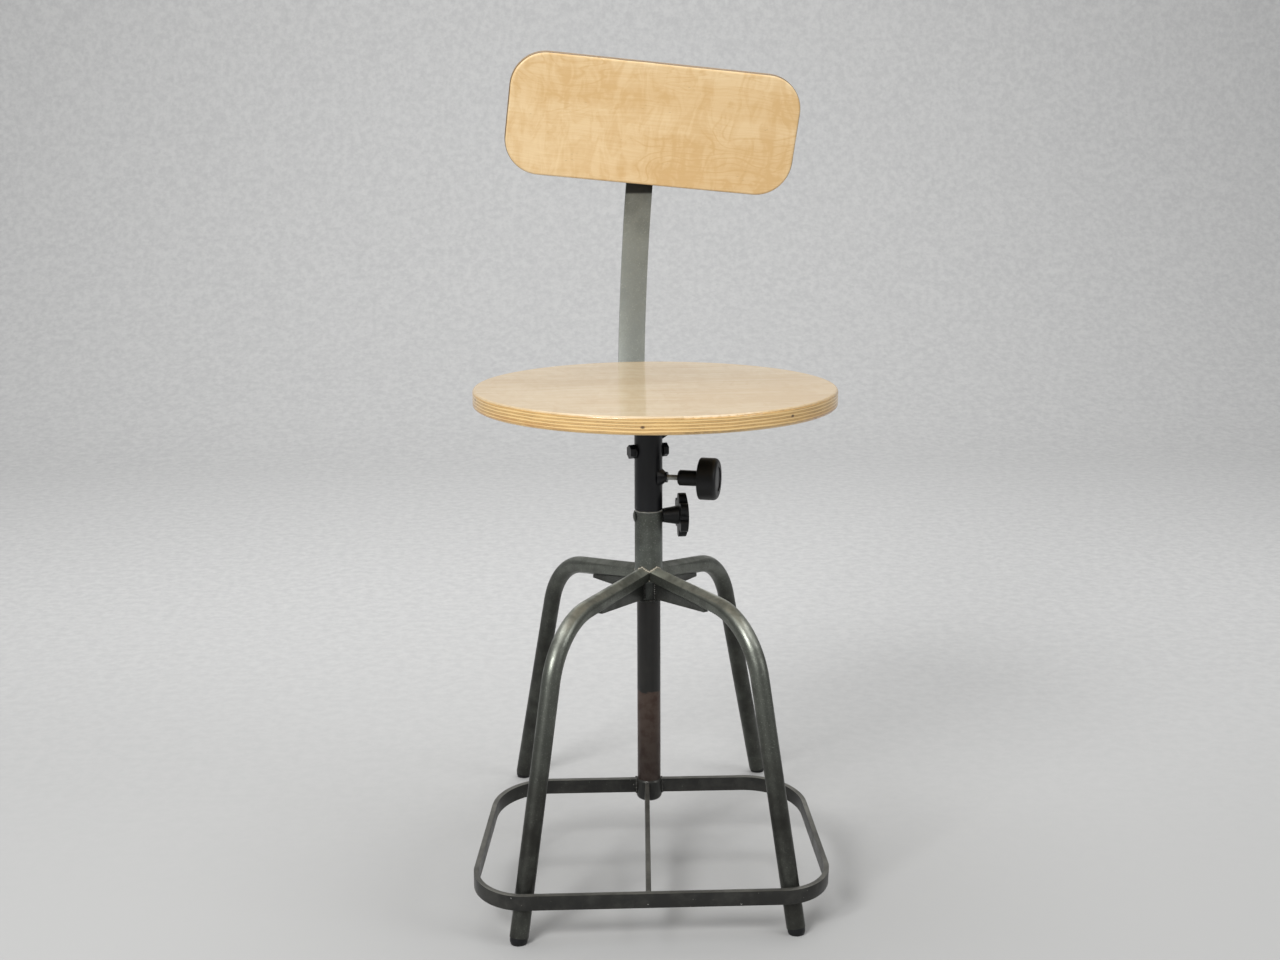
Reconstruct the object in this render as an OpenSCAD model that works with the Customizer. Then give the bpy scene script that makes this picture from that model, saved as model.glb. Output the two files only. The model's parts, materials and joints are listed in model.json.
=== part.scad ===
// Swivel chair: round plywood seat and flat plywood backrest on a steel column,
// with four bent tube legs, a flat bar footrest and two hand knobs.
// Millimetres, +Z up, the floor at Z = 0, the footrest towards -Y.

/* [Placement] */
// Distance of the column axis from the middle of the outline, across
axis_x = -4.90; // [-40:0.01:40]
// Distance of the column axis from the middle of the outline, front to back
axis_y = 1.36; // [-40:0.01:40]
// How far the seat and back are turned on the column as drawn, in degrees
seat_turn = 5.2; // [-20:0.1:20]

/* [Column] */
// Outer diameter of the grey hub sleeve and of the black seat tube
sleeve_d = 30; // [29:0.5:34]
// Outer diameter of the centre tube, which is also the bore of the sleeve
core_d = 25.4; // [24:0.2:26]
// Diameter of the sliding post
post_d = 21; // [18:0.5:21.5]
// Wall of the sliding post
post_wall = 4; // [3.5:0.5:5]
// Running clearance round the post
slide_gap = 0.08; // [0.05:0.01:0.1]
// Height of the leg axes at the column, above the floor
leg_axis_z = 316.5; // [290:0.5:330]
// How far the sleeve reaches above the leg axes
sleeve_above = 69.5; // [64:0.5:90]
// How far the sleeve reaches below the leg axes
sleeve_below = 26.5; // [20:0.5:30]
// Chamfer at the top rim of the sleeve and the foot of the seat tube
rim_chamfer = 0.8; // [0.4:0.1:1.2]
// Height of the weld ring under the sleeve
weld_ring_h = 3.5; // [2:0.5:6]
// Width of the weld ring at its foot
weld_ring_lip = 0.6; // [0.4:0.1:1]
// How far the weld ring stays inside the sleeve's outer face
weld_ring_step = 1; // [0.5:0.1:1.2]
// How far the centre tube ends below the top of the sleeve
core_recess = 2; // [1:0.5:3]
// Gap between the sleeve and the seat tube at the lowest seat height
joint_gap = 0.3; // [0.2:0.1:0.6]
// Length of the black seat tube
seat_tube_len = 114.7; // [105:0.1:140]
// Length of the sliding post
post_len = 320; // [300:5:325]
// How far the seat can be raised
height_travel = 180; // [120:10:200]

/* [Legs] */
// Outer diameter of a leg tube
leg_d = 19; // [18:0.5:22]
// Wall of a leg tube
leg_wall = 2.5; // [2:0.25:3]
// Fall of the upper stretch of a near leg, in degrees
near_fall = 3.9; // [2:0.1:9]
// Fall of the upper stretch of a far leg, in degrees
far_fall = 8.2; // [2:0.1:9]
// Radius of the bend, at the middle of the tube
leg_bend_r = 80; // [55:1:85]
// Angle of each near leg from the front to back line, in degrees
near_spread = 31.4; // [30:0.1:45]
// Angle of each far leg from the front to back line, in degrees
far_spread = 32.6; // [30:0.1:45]
// Distance from the column axis to the near left knee, where the straight stretches would meet
near_left_knee = 189.1; // [165:0.1:200]
// Distance from the column axis to the near right knee
near_right_knee = 183.4; // [165:0.1:200]
// Distance from the column axis to the far left knee
far_left_knee = 181.6; // [165:0.1:200]
// Distance from the column axis to the far right knee
far_right_knee = 166.5; // [165:0.1:200]
// Lean of the lower stretch of the near left leg from upright, in degrees
near_left_lean = 15.1; // [13:0.1:21]
// Lean of the lower stretch of the near right leg, in degrees
near_right_lean = 14.5; // [13:0.1:21]
// Lean of the lower stretch of the far left leg, in degrees
far_left_lean = 16.6; // [13:0.1:21]
// Lean of the lower stretch of the far right leg, in degrees
far_right_lean = 19.8; // [13:0.1:21]
// How deep the flats are at the column end of a leg
flat_depth = 1.6; // [0.6:0.1:2]
// Thickness of a gusset plate
gusset_t = 5; // [3:0.5:6]
// Reach of a gusset from the column axis
gusset_len = 105; // [80:1:115]
// Depth of a gusset at its outer end
gusset_tip = 3.8; // [0.5:0.1:5]
// Height of a tube end above the floor, at its middle
plug_h = 6; // [5:0.5:9]
// Length of a plug inside its tube
plug_in = 16; // [10:1:25]
// Length of the straight part of a plug's head
plug_head = 2; // [1.5:0.5:3]
// Gap between the rim of a tube and the plug's head
plug_rim = 0.6; // [0.4:0.1:1]

/* [Footrest] */
// Outer diameter of the collar
collar_d = 28; // [27.5:0.5:32]
// Height of the collar's underside above the floor
collar_z = 58; // [50:1:70]
// Length of the collar
collar_h = 22; // [20:1:30]
// Rounding of the collar's lower edge
collar_round = 6; // [3:0.5:7]
// Thickness of the collar's closed bottom
collar_floor = 4; // [3:0.5:6]
// Height of the weld ring on top of the collar
collar_weld = 2; // [1:0.5:3]
// Width of that weld ring at its top
collar_weld_lip = 0.4; // [0.3:0.1:0.8]
// Height of the flat bar
hoop_bar_h = 16; // [14:1:20]
// Thickness of the flat bar
hoop_bar_t = 5; // [4:0.5:6]
// Height of the hoop's middle above the collar's underside
hoop_up = 15.5; // [13:0.5:18]
// Slope of the hoop down to the front, in degrees
hoop_tilt = 7.2; // [5:0.1:9]
// Width of the hoop over its front corners
hoop_w = 359; // [340:1:380]
// Outer radius of the front corners
hoop_front_r = 51; // [40:1:60]
// Outer radius of the rear corners
hoop_rear_r = 64; // [50:1:70]
// How much the left side draws in towards the rear, in degrees
hoop_draw_left = 7.5; // [0:0.1:10]
// How much the right side draws in towards the rear, in degrees
hoop_draw_right = 1.4; // [0:0.1:10]
// Turn of the hoop on the collar, in degrees
hoop_turn = 1.2; // [-4:0.1:4]
// Sideways slope of the hoop, up to the left, in degrees
hoop_roll = 0.5; // [-2:0.1:2]
// How far the hoop sits to the side of the column
hoop_side = -10; // [-16:0.5:8]
// Thickness of the strut
strut_t = 5; // [4:0.5:6]
// How far the strut starts to the side of the column
strut_side = -2.5; // [-6:0.5:6]
// Turn of the strut from square to the hoop's front, in degrees
strut_turn = -3.5; // [-7:0.1:7]

/* [Seat] */
// Diameter of the seat
seat_d = 380; // [360:2:400]
// Thickness of the seat
seat_t = 18; // [15:0.5:24]
// Rounding of the edges of the seat
seat_arris = 3; // [2:0.5:5]
// How far the middle of the seat is ahead of the column
seat_fwd = 30; // [10:1:45]
// How far the seat and the back bar sit to the side of the column
carrier_side = 3; // [-5:0.5:5]
// Width of the plate under the seat
plate_w = 120; // [100:2:150]
// Reach of the plate ahead of the column
plate_front = 60; // [55:1:75]
// Reach of the plate behind the column
plate_rear = 95; // [90:1:110]
// Thickness of the plate
plate_t = 5; // [4:0.5:6]
// Corner radius of the plate
plate_r = 14; // [6:1:18]
// Thickness of the rib between the plate and the seat tube
rib_t = 4; // [3:0.5:6]
// Reach of the rib from the column axis
rib_len = 58; // [45:1:59]
// Depth of the rib at the tube
rib_deep = 38; // [30:1:44]
// Depth of the rib at its outer end
rib_tip = 10; // [6:1:16]
// Distance of the seat screws from the middle of the plate, across
screw_x = 46; // [38:1:48]
// Distance of the seat screws from the plate's front and rear edges
screw_in = 14; // [12:1:20]
// Diameter of a seat screw
screw_d = 4.5; // [4:0.5:5]
// Depth of a screw in the wood of the seat
screw_deep = 12; // [8:0.5:13]
// Diameter of a screw head
screw_head_d = 9; // [8:0.5:10]
// Height of a screw head
screw_head_h = 2.6; // [2:0.2:3.4]

/* [Back] */
// Width of the flat back bar
bar_w = 30; // [26:1:34]
// Thickness of the flat back bar
bar_t = 5; // [4:0.5:6]
// Distance behind the column axis where the bar starts
bar_start = 20; // [19:1:25]
// Gap between the rear edge of the seat and the bar
bar_clear = 3; // [2:0.5:10]
// Radius of the bend under the seat, at the middle of the bar
bar_bend_r = 12; // [10:0.5:14]
// Lean of the bar to the rear at the seat, in degrees
bar_lean = 15.9; // [12:0.1:18]
// Radius of the long curve, at the middle of the bar
bar_arc_r = 469.5; // [420:0.5:520]
// Lean of the backrest to the front, in degrees
back_lean = 12; // [6:0.5:15]
// Length of the straight top of the bar
bar_top_len = 104; // [96:1:112]
// Sideways lean of the bar, in degrees
bar_roll = 3; // [0:0.1:4]
// Width of the backrest
back_w = 326; // [300:2:350]
// Height of the backrest
back_h = 136; // [126:1:150]
// Thickness of the backrest
back_t = 12; // [10:0.5:16]
// Corner radius of the backrest
back_r = 40; // [30:1:50]
// Rounding of the edges of the backrest
back_arris = 3; // [2:0.5:4]
// Height of the middle of the backrest above the start of the straight top
back_up = 61; // [52:1:66]
// How far the backrest sits to the side of the bar
back_side = 9.2; // [-10:0.5:10]
// Sideways turn of the backrest on the bar, in degrees
back_roll = 2.8; // [-5:0.1:5]
// Distance of the backrest screws from its middle
back_screw_y = 26; // [20:1:30]
// Wood left in front of a backrest screw
back_screw_skin = 3; // [2:0.5:5]
// Distance of the first arm bolt behind the start of the bar
arm_bolt_in = 18; // [14:1:22]
// Distance between the two arm bolts
arm_bolt_gap = 35; // [26:1:36]
// Diameter of an arm bolt
arm_bolt_d = 6; // [5:0.5:6]
// Width across the flats of an arm bolt's head
arm_bolt_af = 10; // [8:0.5:11]
// Height of an arm bolt's head
arm_bolt_head = 4; // [3:0.5:5]

/* [Cross bolt] */
// Height of the cross bolt above the foot of the seat tube
cross_up = 64; // [62:1:70]
// Diameter of the cross bolt
cross_d = 8; // [6:0.5:8]
// Width across the flats of the cross bolt's head and nut
cross_af = 13; // [10:0.5:14]
// Height of the cross bolt's head
cross_head = 5.5; // [4:0.5:6]
// Height of the nut
cross_nut_h = 4.5; // [4:0.5:7]
// Thickness of a washer
washer_t = 1.6; // [1:0.1:2]
// Outer diameter of a washer
washer_d = 15; // [13:0.5:16]
// Turn of the cross bolt from straight across, in degrees
cross_turn = 12; // [-30:1:30]
// How far the plate's spigot reaches below the cross bolt
spigot_below = 9.3; // [7:0.1:12]
// Gap between the spigot and the top of the post
spigot_gap = 0.3; // [0.2:0.1:0.6]

/* [Clamp knob] */
// Height of the clamp screw above the foot of the seat tube
clamp_up = 36; // [33:1:37]
// Turn of the clamp screw from straight across, in degrees
clamp_turn = -21; // [-60:1:0]
// Diameter of the clamp screw
clamp_d = 6; // [5:0.5:6]
// Depth of its thread
thread_deep = 0.35; // [0.2:0.05:0.5]
// Pitch of its thread
thread_pitch = 1; // [0.8:0.1:1.25]
// Plain length at each end of the clamp screw
thread_lead = 1; // [0.5:0.5:2]
// Diameter of the boss on the seat tube
boss_d = 11.5; // [10:0.5:14]
// Diameter of the weld at the foot of the boss
boss_weld_d = 23; // [18:0.5:24]
// Reach of that weld from the face of the seat tube
boss_weld_len = 3.4; // [2:0.2:4]
// Reach of the boss from the column axis
boss_end = 20.9; // [19:0.1:24]
// Distance from the boss to the knob's neck
stem_show = 12; // [8:0.5:16]
// Diameter of the knob's neck
neck_d = 16.7; // [14:0.1:18]
// Length of the knob's neck
neck_len = 23; // [18:0.5:26]
// Chamfer at the end of the neck
neck_chamfer = 1.5; // [0.5:0.1:2]
// Diameter of the knob's head
clamp_head_d = 45; // [38:1:47]
// Length of the knob's head
clamp_head_len = 20.4; // [16:0.1:26]
// Rounding of the outer rim of the knob's head
clamp_round = 5; // [2:0.5:6]
// Rounding of the inner rim of the knob's head
clamp_back_round = 2; // [1:0.5:3]
// Diameter of the cap in the knob's end
cap_d = 26; // [20:1:30]
// Depth of the recess that holds the cap
cap_deep = 2.4; // [1.5:0.1:3]
// Thickness of the cap
cap_t = 1.4; // [1:0.1:1.5]
// Depth of the groove round the post
groove_deep = 1; // [0.6:0.1:1.5]
// Slack of the clamp screw in the groove, above and below it
groove_slack = 0.5; // [0.3:0.1:1]
// Gap between the screw's tip and the bottom of the groove
tip_gap = 0.3; // [0.2:0.1:0.5]
// How far the bush reaches above the clamp screw
bush_above = 15; // [10:0.5:16]
// How far the bush starts above the foot of the seat tube
bush_in = 1; // [0.5:0.5:3]
// Radial clearance of a screw in its bore
screw_gap = 0.08; // [0.05:0.01:0.1]
// Space past the end of a screw in a knob
screw_room = 0.5; // [0.3:0.1:1]

/* [Star knob] */
// Distance of the star bolt below the top of the sleeve
star_below = 7; // [6.8:0.1:12]
// Turn of the star bolt from straight across, in degrees
star_turn = 5; // [-30:1:30]
// Diameter of the star bolt
star_bolt_d = 6; // [5:0.5:6]
// Diameter of its round head
star_head_d = 13; // [10:0.5:13.5]
// Height of its round head
star_head_h = 1.8; // [1.2:0.1:2.5]
// Diameter of the knob's neck at the sleeve
star_neck_d = 15; // [12:0.5:16]
// Diameter of the knob's neck at the disc
star_flare_d = 20.5; // [17:0.5:24]
// Length of the knob's neck
star_neck_len = 16.9; // [12:0.1:18]
// Diameter over the lobes
star_d = 48; // [40:1:50]
// Diameter of a lobe
star_lobe_d = 14; // [10:0.5:16]
// Number of lobes
star_lobes = 6; // [5:1:8]
// Thickness of the disc
star_t = 11; // [10:0.5:16]
// Radius of the disc's domed outer face
star_dome_r = 100; // [80:1:160]
// Gap between the star knob and the sleeve
star_gap = 0.15; // [0.1:0.05:0.4]
// Side clearance of the star bolt in the post's slot
slot_gap = 0.1; // [0.05:0.05:0.3]
// Spare length at each end of the slot
slot_spare = 0.3; // [0.2:0.1:2]

/* [Hidden] */
$fn = 96;

// Column heights, from the floor up
sleeve_r = sleeve_d / 2;
core_r = core_d / 2;
post_r = post_d / 2;
bore_r = post_r + slide_gap;
sleeve_top_z = leg_axis_z + sleeve_above;
sleeve_bottom_z = leg_axis_z - sleeve_below;
star_z = sleeve_top_z - star_below;
tube_foot_z = sleeve_top_z + joint_gap;
clamp_z = tube_foot_z + clamp_up;
cross_z = tube_foot_z + cross_up;
plate_z = tube_foot_z + seat_tube_len;
seat_z = plate_z + plate_t;
spigot_z = cross_z - spigot_below;
post_top_z = spigot_z - spigot_gap;
post_foot_z = post_top_z - post_len;
core_top_z = sleeve_top_z - core_recess;
core_foot_z = collar_z + collar_floor;

// Legs
leg_r = leg_d / 2;
leg_bore_r = leg_r - leg_wall;
// Each leg: which side it is on, near (-1) or far (1), its knee and its lean
NEAR_LEFT = [-1, -1, near_left_knee, near_left_lean];
NEAR_RIGHT = [1, -1, near_right_knee, near_right_lean];
FAR_LEFT = [-1, 1, far_left_knee, far_left_lean];
FAR_RIGHT = [1, 1, far_right_knee, far_right_lean];
function spread(g) = g[1] < 0 ? near_spread : far_spread;
function fall(g) = g[1] < 0 ? near_fall : far_fall;
function knee_z(g) = leg_axis_z - g[2] * tan(fall(g));
function foot_r(g) = g[2] + knee_z(g) * tan(g[3]);
function leg_turn(g) = 90 - fall(g) - g[3];
function leg_upper(g) = g[2] / cos(fall(g)) - leg_bend_r * tan(leg_turn(g) / 2);
function flat_run(g) = leg_upper(g) - flat_end;
function flat_slope(g) = atan(flat_depth / (flat_run(g) - sleeve_r));
// Height of the flat under a leg, at r from the column axis
function flat_z(g, r) =
  let(off = leg_r - flat_run(g) * tan(flat_slope(g)), a = fall(g) + flat_slope(g))
  leg_axis_z - off * cos(fall(g)) - (r + off * sin(fall(g))) * tan(a);

// Footrest: the front bar's lower inner edge meets the front of the near legs
hoop_z = collar_z + hoop_up;
collar_r = collar_d / 2;
// How far ahead a near leg's front lies at the bar's lower edge, in the hoop's own slope
function front_reach(g) =
  let(
    a = spread(g) - g[0] * hoop_turn,
    slope = tan(g[3]) * cos(a),
    half = leg_r * sqrt(pow(cos(a) / cos(g[3]), 2) + pow(sin(a), 2)),
    rise = g[0] * foot_r(g) * sin(a) * tan(-hoop_roll),
    low = hoop_z + rise - hoop_bar_h / 2 * cos(hoop_tilt)
  )
  (foot_r(g) * cos(a) + half - slope * low + hoop_bar_h / 2 * sin(hoop_tilt))
    / (cos(hoop_tilt) - slope * sin(hoop_tilt));
hoop_reach = max(front_reach(NEAR_LEFT), front_reach(NEAR_RIGHT));
hoop_front = hoop_reach + hoop_bar_t / 2;
front_rc = hoop_front_r - hoop_bar_t / 2;
rear_rc = hoop_rear_r - hoop_bar_t / 2;
front_x = hoop_w / 2 - hoop_front_r;
function side_len(draw) =
  (hoop_front - front_rc - rear_rc + (rear_rc - front_rc) * sin(draw)) / cos(draw);
function rear_x(draw) =
  front_x + (front_rc - rear_rc) * cos(draw) - side_len(draw) * sin(draw);

// Back bar
seat_rear = seat_d / 2 - seat_fwd;
bend_y = seat_rear + bar_clear - (bar_bend_r - bar_t / 2);
arm_z = plate_z - bar_t / 2;

// Radius of the space that the rib leaves for the cross bolt's washers, head and nut
cross_room_r = max(washer_d, cross_af / cos(30)) / 2 + joint_gap;

// Clamp knob, along its own axis from the column axis
neck_x = boss_end + stem_show;
head_x = neck_x + neck_len;
screw_end_x = head_x + clamp_head_len / 2;
tip_x = post_r - groove_deep + tip_gap;

// Star knob, along its own axis from the column axis
star_x = sleeve_r + star_gap;
disc_x = star_x + star_neck_len;
star_bolt_end = disc_x + star_t * 0.6;

// A bend of the flat bar is fuller than its straights by this much all round, and a leg's bend
// by leg_swell; the straights run on into the bend by lap
swell = 0.01;
leg_swell = 0.05;
lap = 0.4;
// The flats of a leg run out this far before its bend
flat_end = 8;

steel_grey = [0.40, 0.42, 0.39];
steel_dark = [0.20, 0.19, 0.18];
steel_black = [0.13, 0.13, 0.15];
knob_black = [0.08, 0.09, 0.10];
zinc = [0.72, 0.72, 0.70];
birch = [0.87, 0.75, 0.56];
nylon = [0.88, 0.88, 0.84];

// Placing

module on_axis() {
  translate([axis_x, axis_y, 0]) children();
}

module on_seat() {
  on_axis() rotate([0, 0, seat_turn]) children();
}

module along_x(z, turn) {
  translate([0, 0, z]) rotate([0, 0, turn]) rotate([0, 90, 0]) children();
}

// Shared shapes

// Cross-section of a board's edge: from 0 to len along X, from 0 to t along Y
module edge_section(len, t, a) {
  square([len - a, t]);
  translate([0, a]) square([len, t - 2 * a]);
  translate([len - a, a]) circle(r = a);
  translate([len - a, t - a]) circle(r = a);
}

// Board with round corners r and edges rounded by a, its back on Z = 0
module board(w, h, t, r, a) {
  cx = w / 2 - r;
  cy = h / 2 - r;
  translate([-cx, -cy, 0]) cube([2 * cx, 2 * cy, t]);
  for (q = [[cx, cy, 0], [-cx, cy, 90], [-cx, -cy, 180], [cx, -cy, 270]])
    translate([q[0], q[1], 0]) rotate([0, 0, q[2]])
      rotate_extrude(angle = 90) edge_section(r, t, a);
  for (s = [0, 180]) rotate([0, 0, s]) {
    translate([cx, cy, 0]) rotate([90, 0, 0])
      linear_extrude(2 * cy) edge_section(r, t, a);
    translate([-cx, cy, 0]) rotate([90, 0, 90])
      linear_extrude(2 * cx) edge_section(r, t, a);
  }
}

module hex_prism(af, h) {
  cylinder(d = af / cos(30), h = h, $fn = 6);
}

module tube(ro, ri, h) {
  difference() {
    cylinder(r = ro, h = h);
    translate([0, 0, -1]) cylinder(r = ri, h = h + 2);
  }
}

// Column

module star_hole(r) {
  along_x(star_z, star_turn) translate([0, 0, -sleeve_d]) cylinder(r = r, h = 2 * sleeve_d);
}

module centre_tube() {
  color(steel_dark) on_axis() difference() {
    translate([0, 0, core_foot_z]) tube(core_r, bore_r, core_top_z - core_foot_z);
    star_hole(star_bolt_d / 2 + screw_gap);
  }
}

module hub_sleeve() {
  color(steel_grey) on_axis() difference() {
    rotate_extrude() polygon([
      [core_r, sleeve_bottom_z - weld_ring_h],
      [core_r + weld_ring_lip, sleeve_bottom_z - weld_ring_h],
      [sleeve_r - weld_ring_step, sleeve_bottom_z],
      [sleeve_r, sleeve_bottom_z],
      [sleeve_r, sleeve_top_z - rim_chamfer],
      [sleeve_r - rim_chamfer, sleeve_top_z],
      [core_r, sleeve_top_z]
    ]);
    star_hole(star_bolt_d / 2 + screw_gap);
  }
}

module seat_post() {
  color(zinc) on_axis() difference() {
    translate([0, 0, post_foot_z]) cylinder(r = post_r, h = post_len);
    translate([0, 0, post_foot_z - 1])
      cylinder(r = post_r - post_wall, h = post_len - post_wall + 1);
    translate([0, 0, clamp_z - clamp_d / 2 - groove_slack])
      tube(post_r + 1, post_r - groove_deep, clamp_d + 2 * groove_slack);
    post_slot();
  }
}

// Slot for the star bolt, which sits at its upper end when the seat is lowest
module post_slot() {
  w = star_bolt_d + 2 * slot_gap;
  run = height_travel + 2 * slot_spare;
  rotate([0, 0, star_turn]) translate([0, 0, star_z + slot_spare]) {
    translate([-post_d, -w / 2, -run]) cube([2 * post_d, w, run]);
    for (z = [0, -run]) translate([-post_d, 0, z]) rotate([0, 90, 0])
      cylinder(d = w, h = 2 * post_d);
  }
}

// Legs

// Moves on by a straight of length l and a bend of radius r that turns down by a
module bent_on(l, r, a) {
  translate([l, 0, -r]) rotate([0, a, 0]) translate([0, 0, r]) children();
}

// Rod along a leg's axis, from the column axis towards the floor, cut short by short
module leg_rod(r, g, short) {
  turn = leg_turn(g);
  upper = leg_upper(g);
  lower = knee_z(g) / cos(g[3]) - leg_bend_r * tan(turn / 2) - short;
  translate([0, 0, leg_axis_z]) rotate([0, fall(g), 0]) {
    rotate([0, 90, 0]) cylinder(r = r, h = upper + lap);
    translate([upper, 0, -leg_bend_r]) rotate([-90, -90, 0])
      rotate_extrude(angle = turn) translate([leg_bend_r, 0]) circle(r = r + leg_swell);
    bent_on(upper, leg_bend_r, turn) translate([-lap, 0, 0])
      rotate([0, 90, 0]) cylinder(r = r, h = lower + lap);
  }
}

// The four flats that square a leg's upper stretch and run out at the bend
module leg_flats(g) {
  run = flat_run(g);
  translate([0, 0, leg_axis_z]) rotate([0, fall(g), 0])
    for (q = [0, 90, 180, 270]) rotate([q, 0, 0])
      translate([run, 0, leg_r]) rotate([0, -flat_slope(g), 0])
        translate([-run - leg_r, -leg_d, 0]) cube([run + leg_r + flat_end / 2, 2 * leg_d, leg_d]);
}

module leg_body(g) {
  difference() {
    leg_rod(leg_r, g, plug_h / cos(g[3]));
    leg_flats(g);
  }
}

module on_leg(g) {
  on_axis() rotate([0, 0, g[1] * 90 - g[0] * g[1] * spread(g)]) children();
}

// Keeps a leg on its own side of the middle, where it meets the leg beside it
module own_side(g) {
  room = leg_axis_z + leg_d;
  intersection() {
    children();
    on_axis() translate([g[0] > 0 ? 0 : -room, -room, 0]) cube([room, 2 * room, room]);
  }
}

module leg(g) {
  color(steel_grey) own_side(g) difference() {
    on_leg(g) leg_body(g);
    on_leg(g) leg_rod(leg_bore_r, g, 0);
    on_axis() cylinder(r = sleeve_r, h = 2 * leg_axis_z);
  }
}

module gusset(g) {
  color(steel_grey) difference() {
    on_leg(g) translate([0, gusset_t / 2, 0]) rotate([90, 0, 0])
      linear_extrude(gusset_t) polygon([
        [0, sleeve_bottom_z],
        [sleeve_r, sleeve_bottom_z],
        [gusset_len, flat_z(g, gusset_len) - gusset_tip],
        [gusset_len, flat_z(g, gusset_len)],
        [0, flat_z(g, 0)]
      ]);
    on_axis() cylinder(r = sleeve_r, h = 2 * leg_axis_z);
  }
}

// Plug in the end of a leg, domed below and cut flat where it stands on the floor
module plug(g) {
  head_r = leg_r - plug_rim;
  color(knob_black) intersection() {
    in_tube_end(g) {
      cylinder(r = leg_bore_r, h = plug_in);
      translate([0, 0, -plug_head]) {
        cylinder(r = head_r, h = plug_head);
        sphere(r = head_r);
      }
    }
    plug_room(g);
  }
}

module in_tube_end(g) {
  on_leg(g) translate([foot_r(g), 0, 0]) rotate([0, -g[3], 0])
    translate([0, 0, plug_h / cos(g[3])]) children();
}

// Space for a plug: above the floor, and inside the tube's bore above the tube's end
module plug_room(g) {
  intersection() {
    in_tube_end(g) {
      translate([0, 0, -leg_d]) cylinder(r = leg_d, h = leg_d);
      cylinder(r = leg_bore_r, h = plug_in);
    }
    on_leg(g) translate([foot_r(g) - 2 * leg_d, -2 * leg_d, 0])
      cube([4 * leg_d, 4 * leg_d, plug_in + 2 * leg_d]);
  }
}

// Footrest

module collar() {
  top = collar_z + collar_h;
  color(steel_dark) on_axis() difference() {
    rotate_extrude() {
      translate([0, collar_z]) square([collar_r - collar_round, collar_round]);
      intersection() {
        translate([collar_r - collar_round, collar_z + collar_round]) circle(r = collar_round);
        translate([0, collar_z]) square([collar_r, collar_round]);
      }
      translate([0, collar_z + collar_round]) square([collar_r, collar_h - collar_round]);
      polygon([[0, top], [collar_r, top], [core_r + collar_weld_lip, top + collar_weld], [0, top + collar_weld]]);
    }
    translate([0, 0, core_foot_z]) cylinder(r = core_r, h = collar_h + collar_weld);
  }
}

module bar_piece(start, end) {
  translate([start, -hoop_bar_t / 2, -hoop_bar_h / 2])
    cube([end - start, hoop_bar_t, hoop_bar_h]);
}

module bar_corner(rc, turn) {
  rotate_extrude(angle = turn)
    translate([rc - hoop_bar_t / 2 - swell, -hoop_bar_h / 2 - swell])
      square([hoop_bar_t + 2 * swell, hoop_bar_h + 2 * swell]);
}

// One side of the hoop, between its straight front and rear
module hoop_side_bar(draw) {
  translate([front_x, front_rc - hoop_front, 0]) {
    rotate([0, 0, -90]) bar_corner(front_rc, 90 + draw);
    rotate([0, 0, draw]) translate([front_rc, 0, 0]) rotate([0, 0, 90])
      bar_piece(-lap, side_len(draw) + lap);
  }
  translate([rear_x(draw), -rear_rc, 0]) rotate([0, 0, draw]) bar_corner(rear_rc, 90 - draw);
}

module on_hoop() {
  on_axis() translate([0, 0, hoop_z]) rotate([0, 0, hoop_turn]) rotate([hoop_tilt, hoop_roll, 0])
    children();
}

module footrest_hoop() {
  color(steel_dark) difference() {
    on_hoop() translate([hoop_side, 0, 0]) {
      translate([0, -hoop_front, 0]) bar_piece(-front_x - lap, front_x + lap);
      bar_piece(-rear_x(hoop_draw_left) - lap, rear_x(hoop_draw_right) + lap);
      hoop_side_bar(hoop_draw_right);
      mirror([1, 0, 0]) hoop_side_bar(hoop_draw_left);
    }
    on_axis() cylinder(r = collar_r, h = 2 * hoop_z);
  }
}

module footrest_strut() {
  color(steel_dark) difference() {
    intersection() {
      on_hoop() rotate([0, 0, strut_turn])
        translate([strut_side - strut_t / 2, -hoop_front - 20, -hoop_bar_h / 2])
          cube([strut_t, hoop_front + 20, hoop_bar_h]);
      on_hoop() translate([-hoop_w / 2, -hoop_reach, -hoop_bar_h])
        cube([hoop_w, hoop_reach, 2 * hoop_bar_h]);
    }
    on_axis() cylinder(r = collar_r, h = 2 * hoop_z);
  }
}

// Star knob

module star_bolt() {
  dome_r = (pow(star_head_d / 2, 2) + pow(star_head_h, 2)) / (2 * star_head_h);
  color(steel_grey) on_axis() along_x(star_z, star_turn) {
    translate([0, 0, -sleeve_r]) cylinder(d = star_bolt_d, h = sleeve_r + star_bolt_end);
    intersection() {
      translate([0, 0, dome_r - sleeve_r - star_head_h]) sphere(r = dome_r);
      translate([0, 0, -sleeve_r - star_head_h]) cylinder(d = star_head_d, h = star_head_h);
    }
  }
}

module star_knob() {
  lobe_c = (star_d - star_lobe_d) / 2;
  color(knob_black) on_axis() along_x(star_z, star_turn) difference() {
    union() {
      translate([0, 0, star_x])
        cylinder(d1 = star_neck_d, d2 = star_flare_d, h = star_neck_len);
      intersection() {
        translate([0, 0, disc_x]) {
          cylinder(r = lobe_c, h = star_t);
          for (k = [0 : star_lobes - 1]) rotate([0, 0, k * 360 / star_lobes])
            translate([lobe_c, 0, 0]) cylinder(d = star_lobe_d, h = star_t);
        }
        translate([0, 0, disc_x + star_t - star_dome_r]) sphere(r = star_dome_r);
      }
    }
    translate([0, 0, star_x - 1])
      cylinder(r = star_bolt_d / 2 + screw_gap, h = star_bolt_end + screw_room - star_x + 1);
  }
}

// Seat tube and what is on it

module clamp_hole(r) {
  along_x(clamp_z, clamp_turn) cylinder(r = r, h = 2 * sleeve_d);
}

module cross_hole() {
  along_x(cross_z, cross_turn) translate([0, 0, -sleeve_d]) cylinder(d = cross_d, h = 2 * sleeve_d);
}

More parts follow.
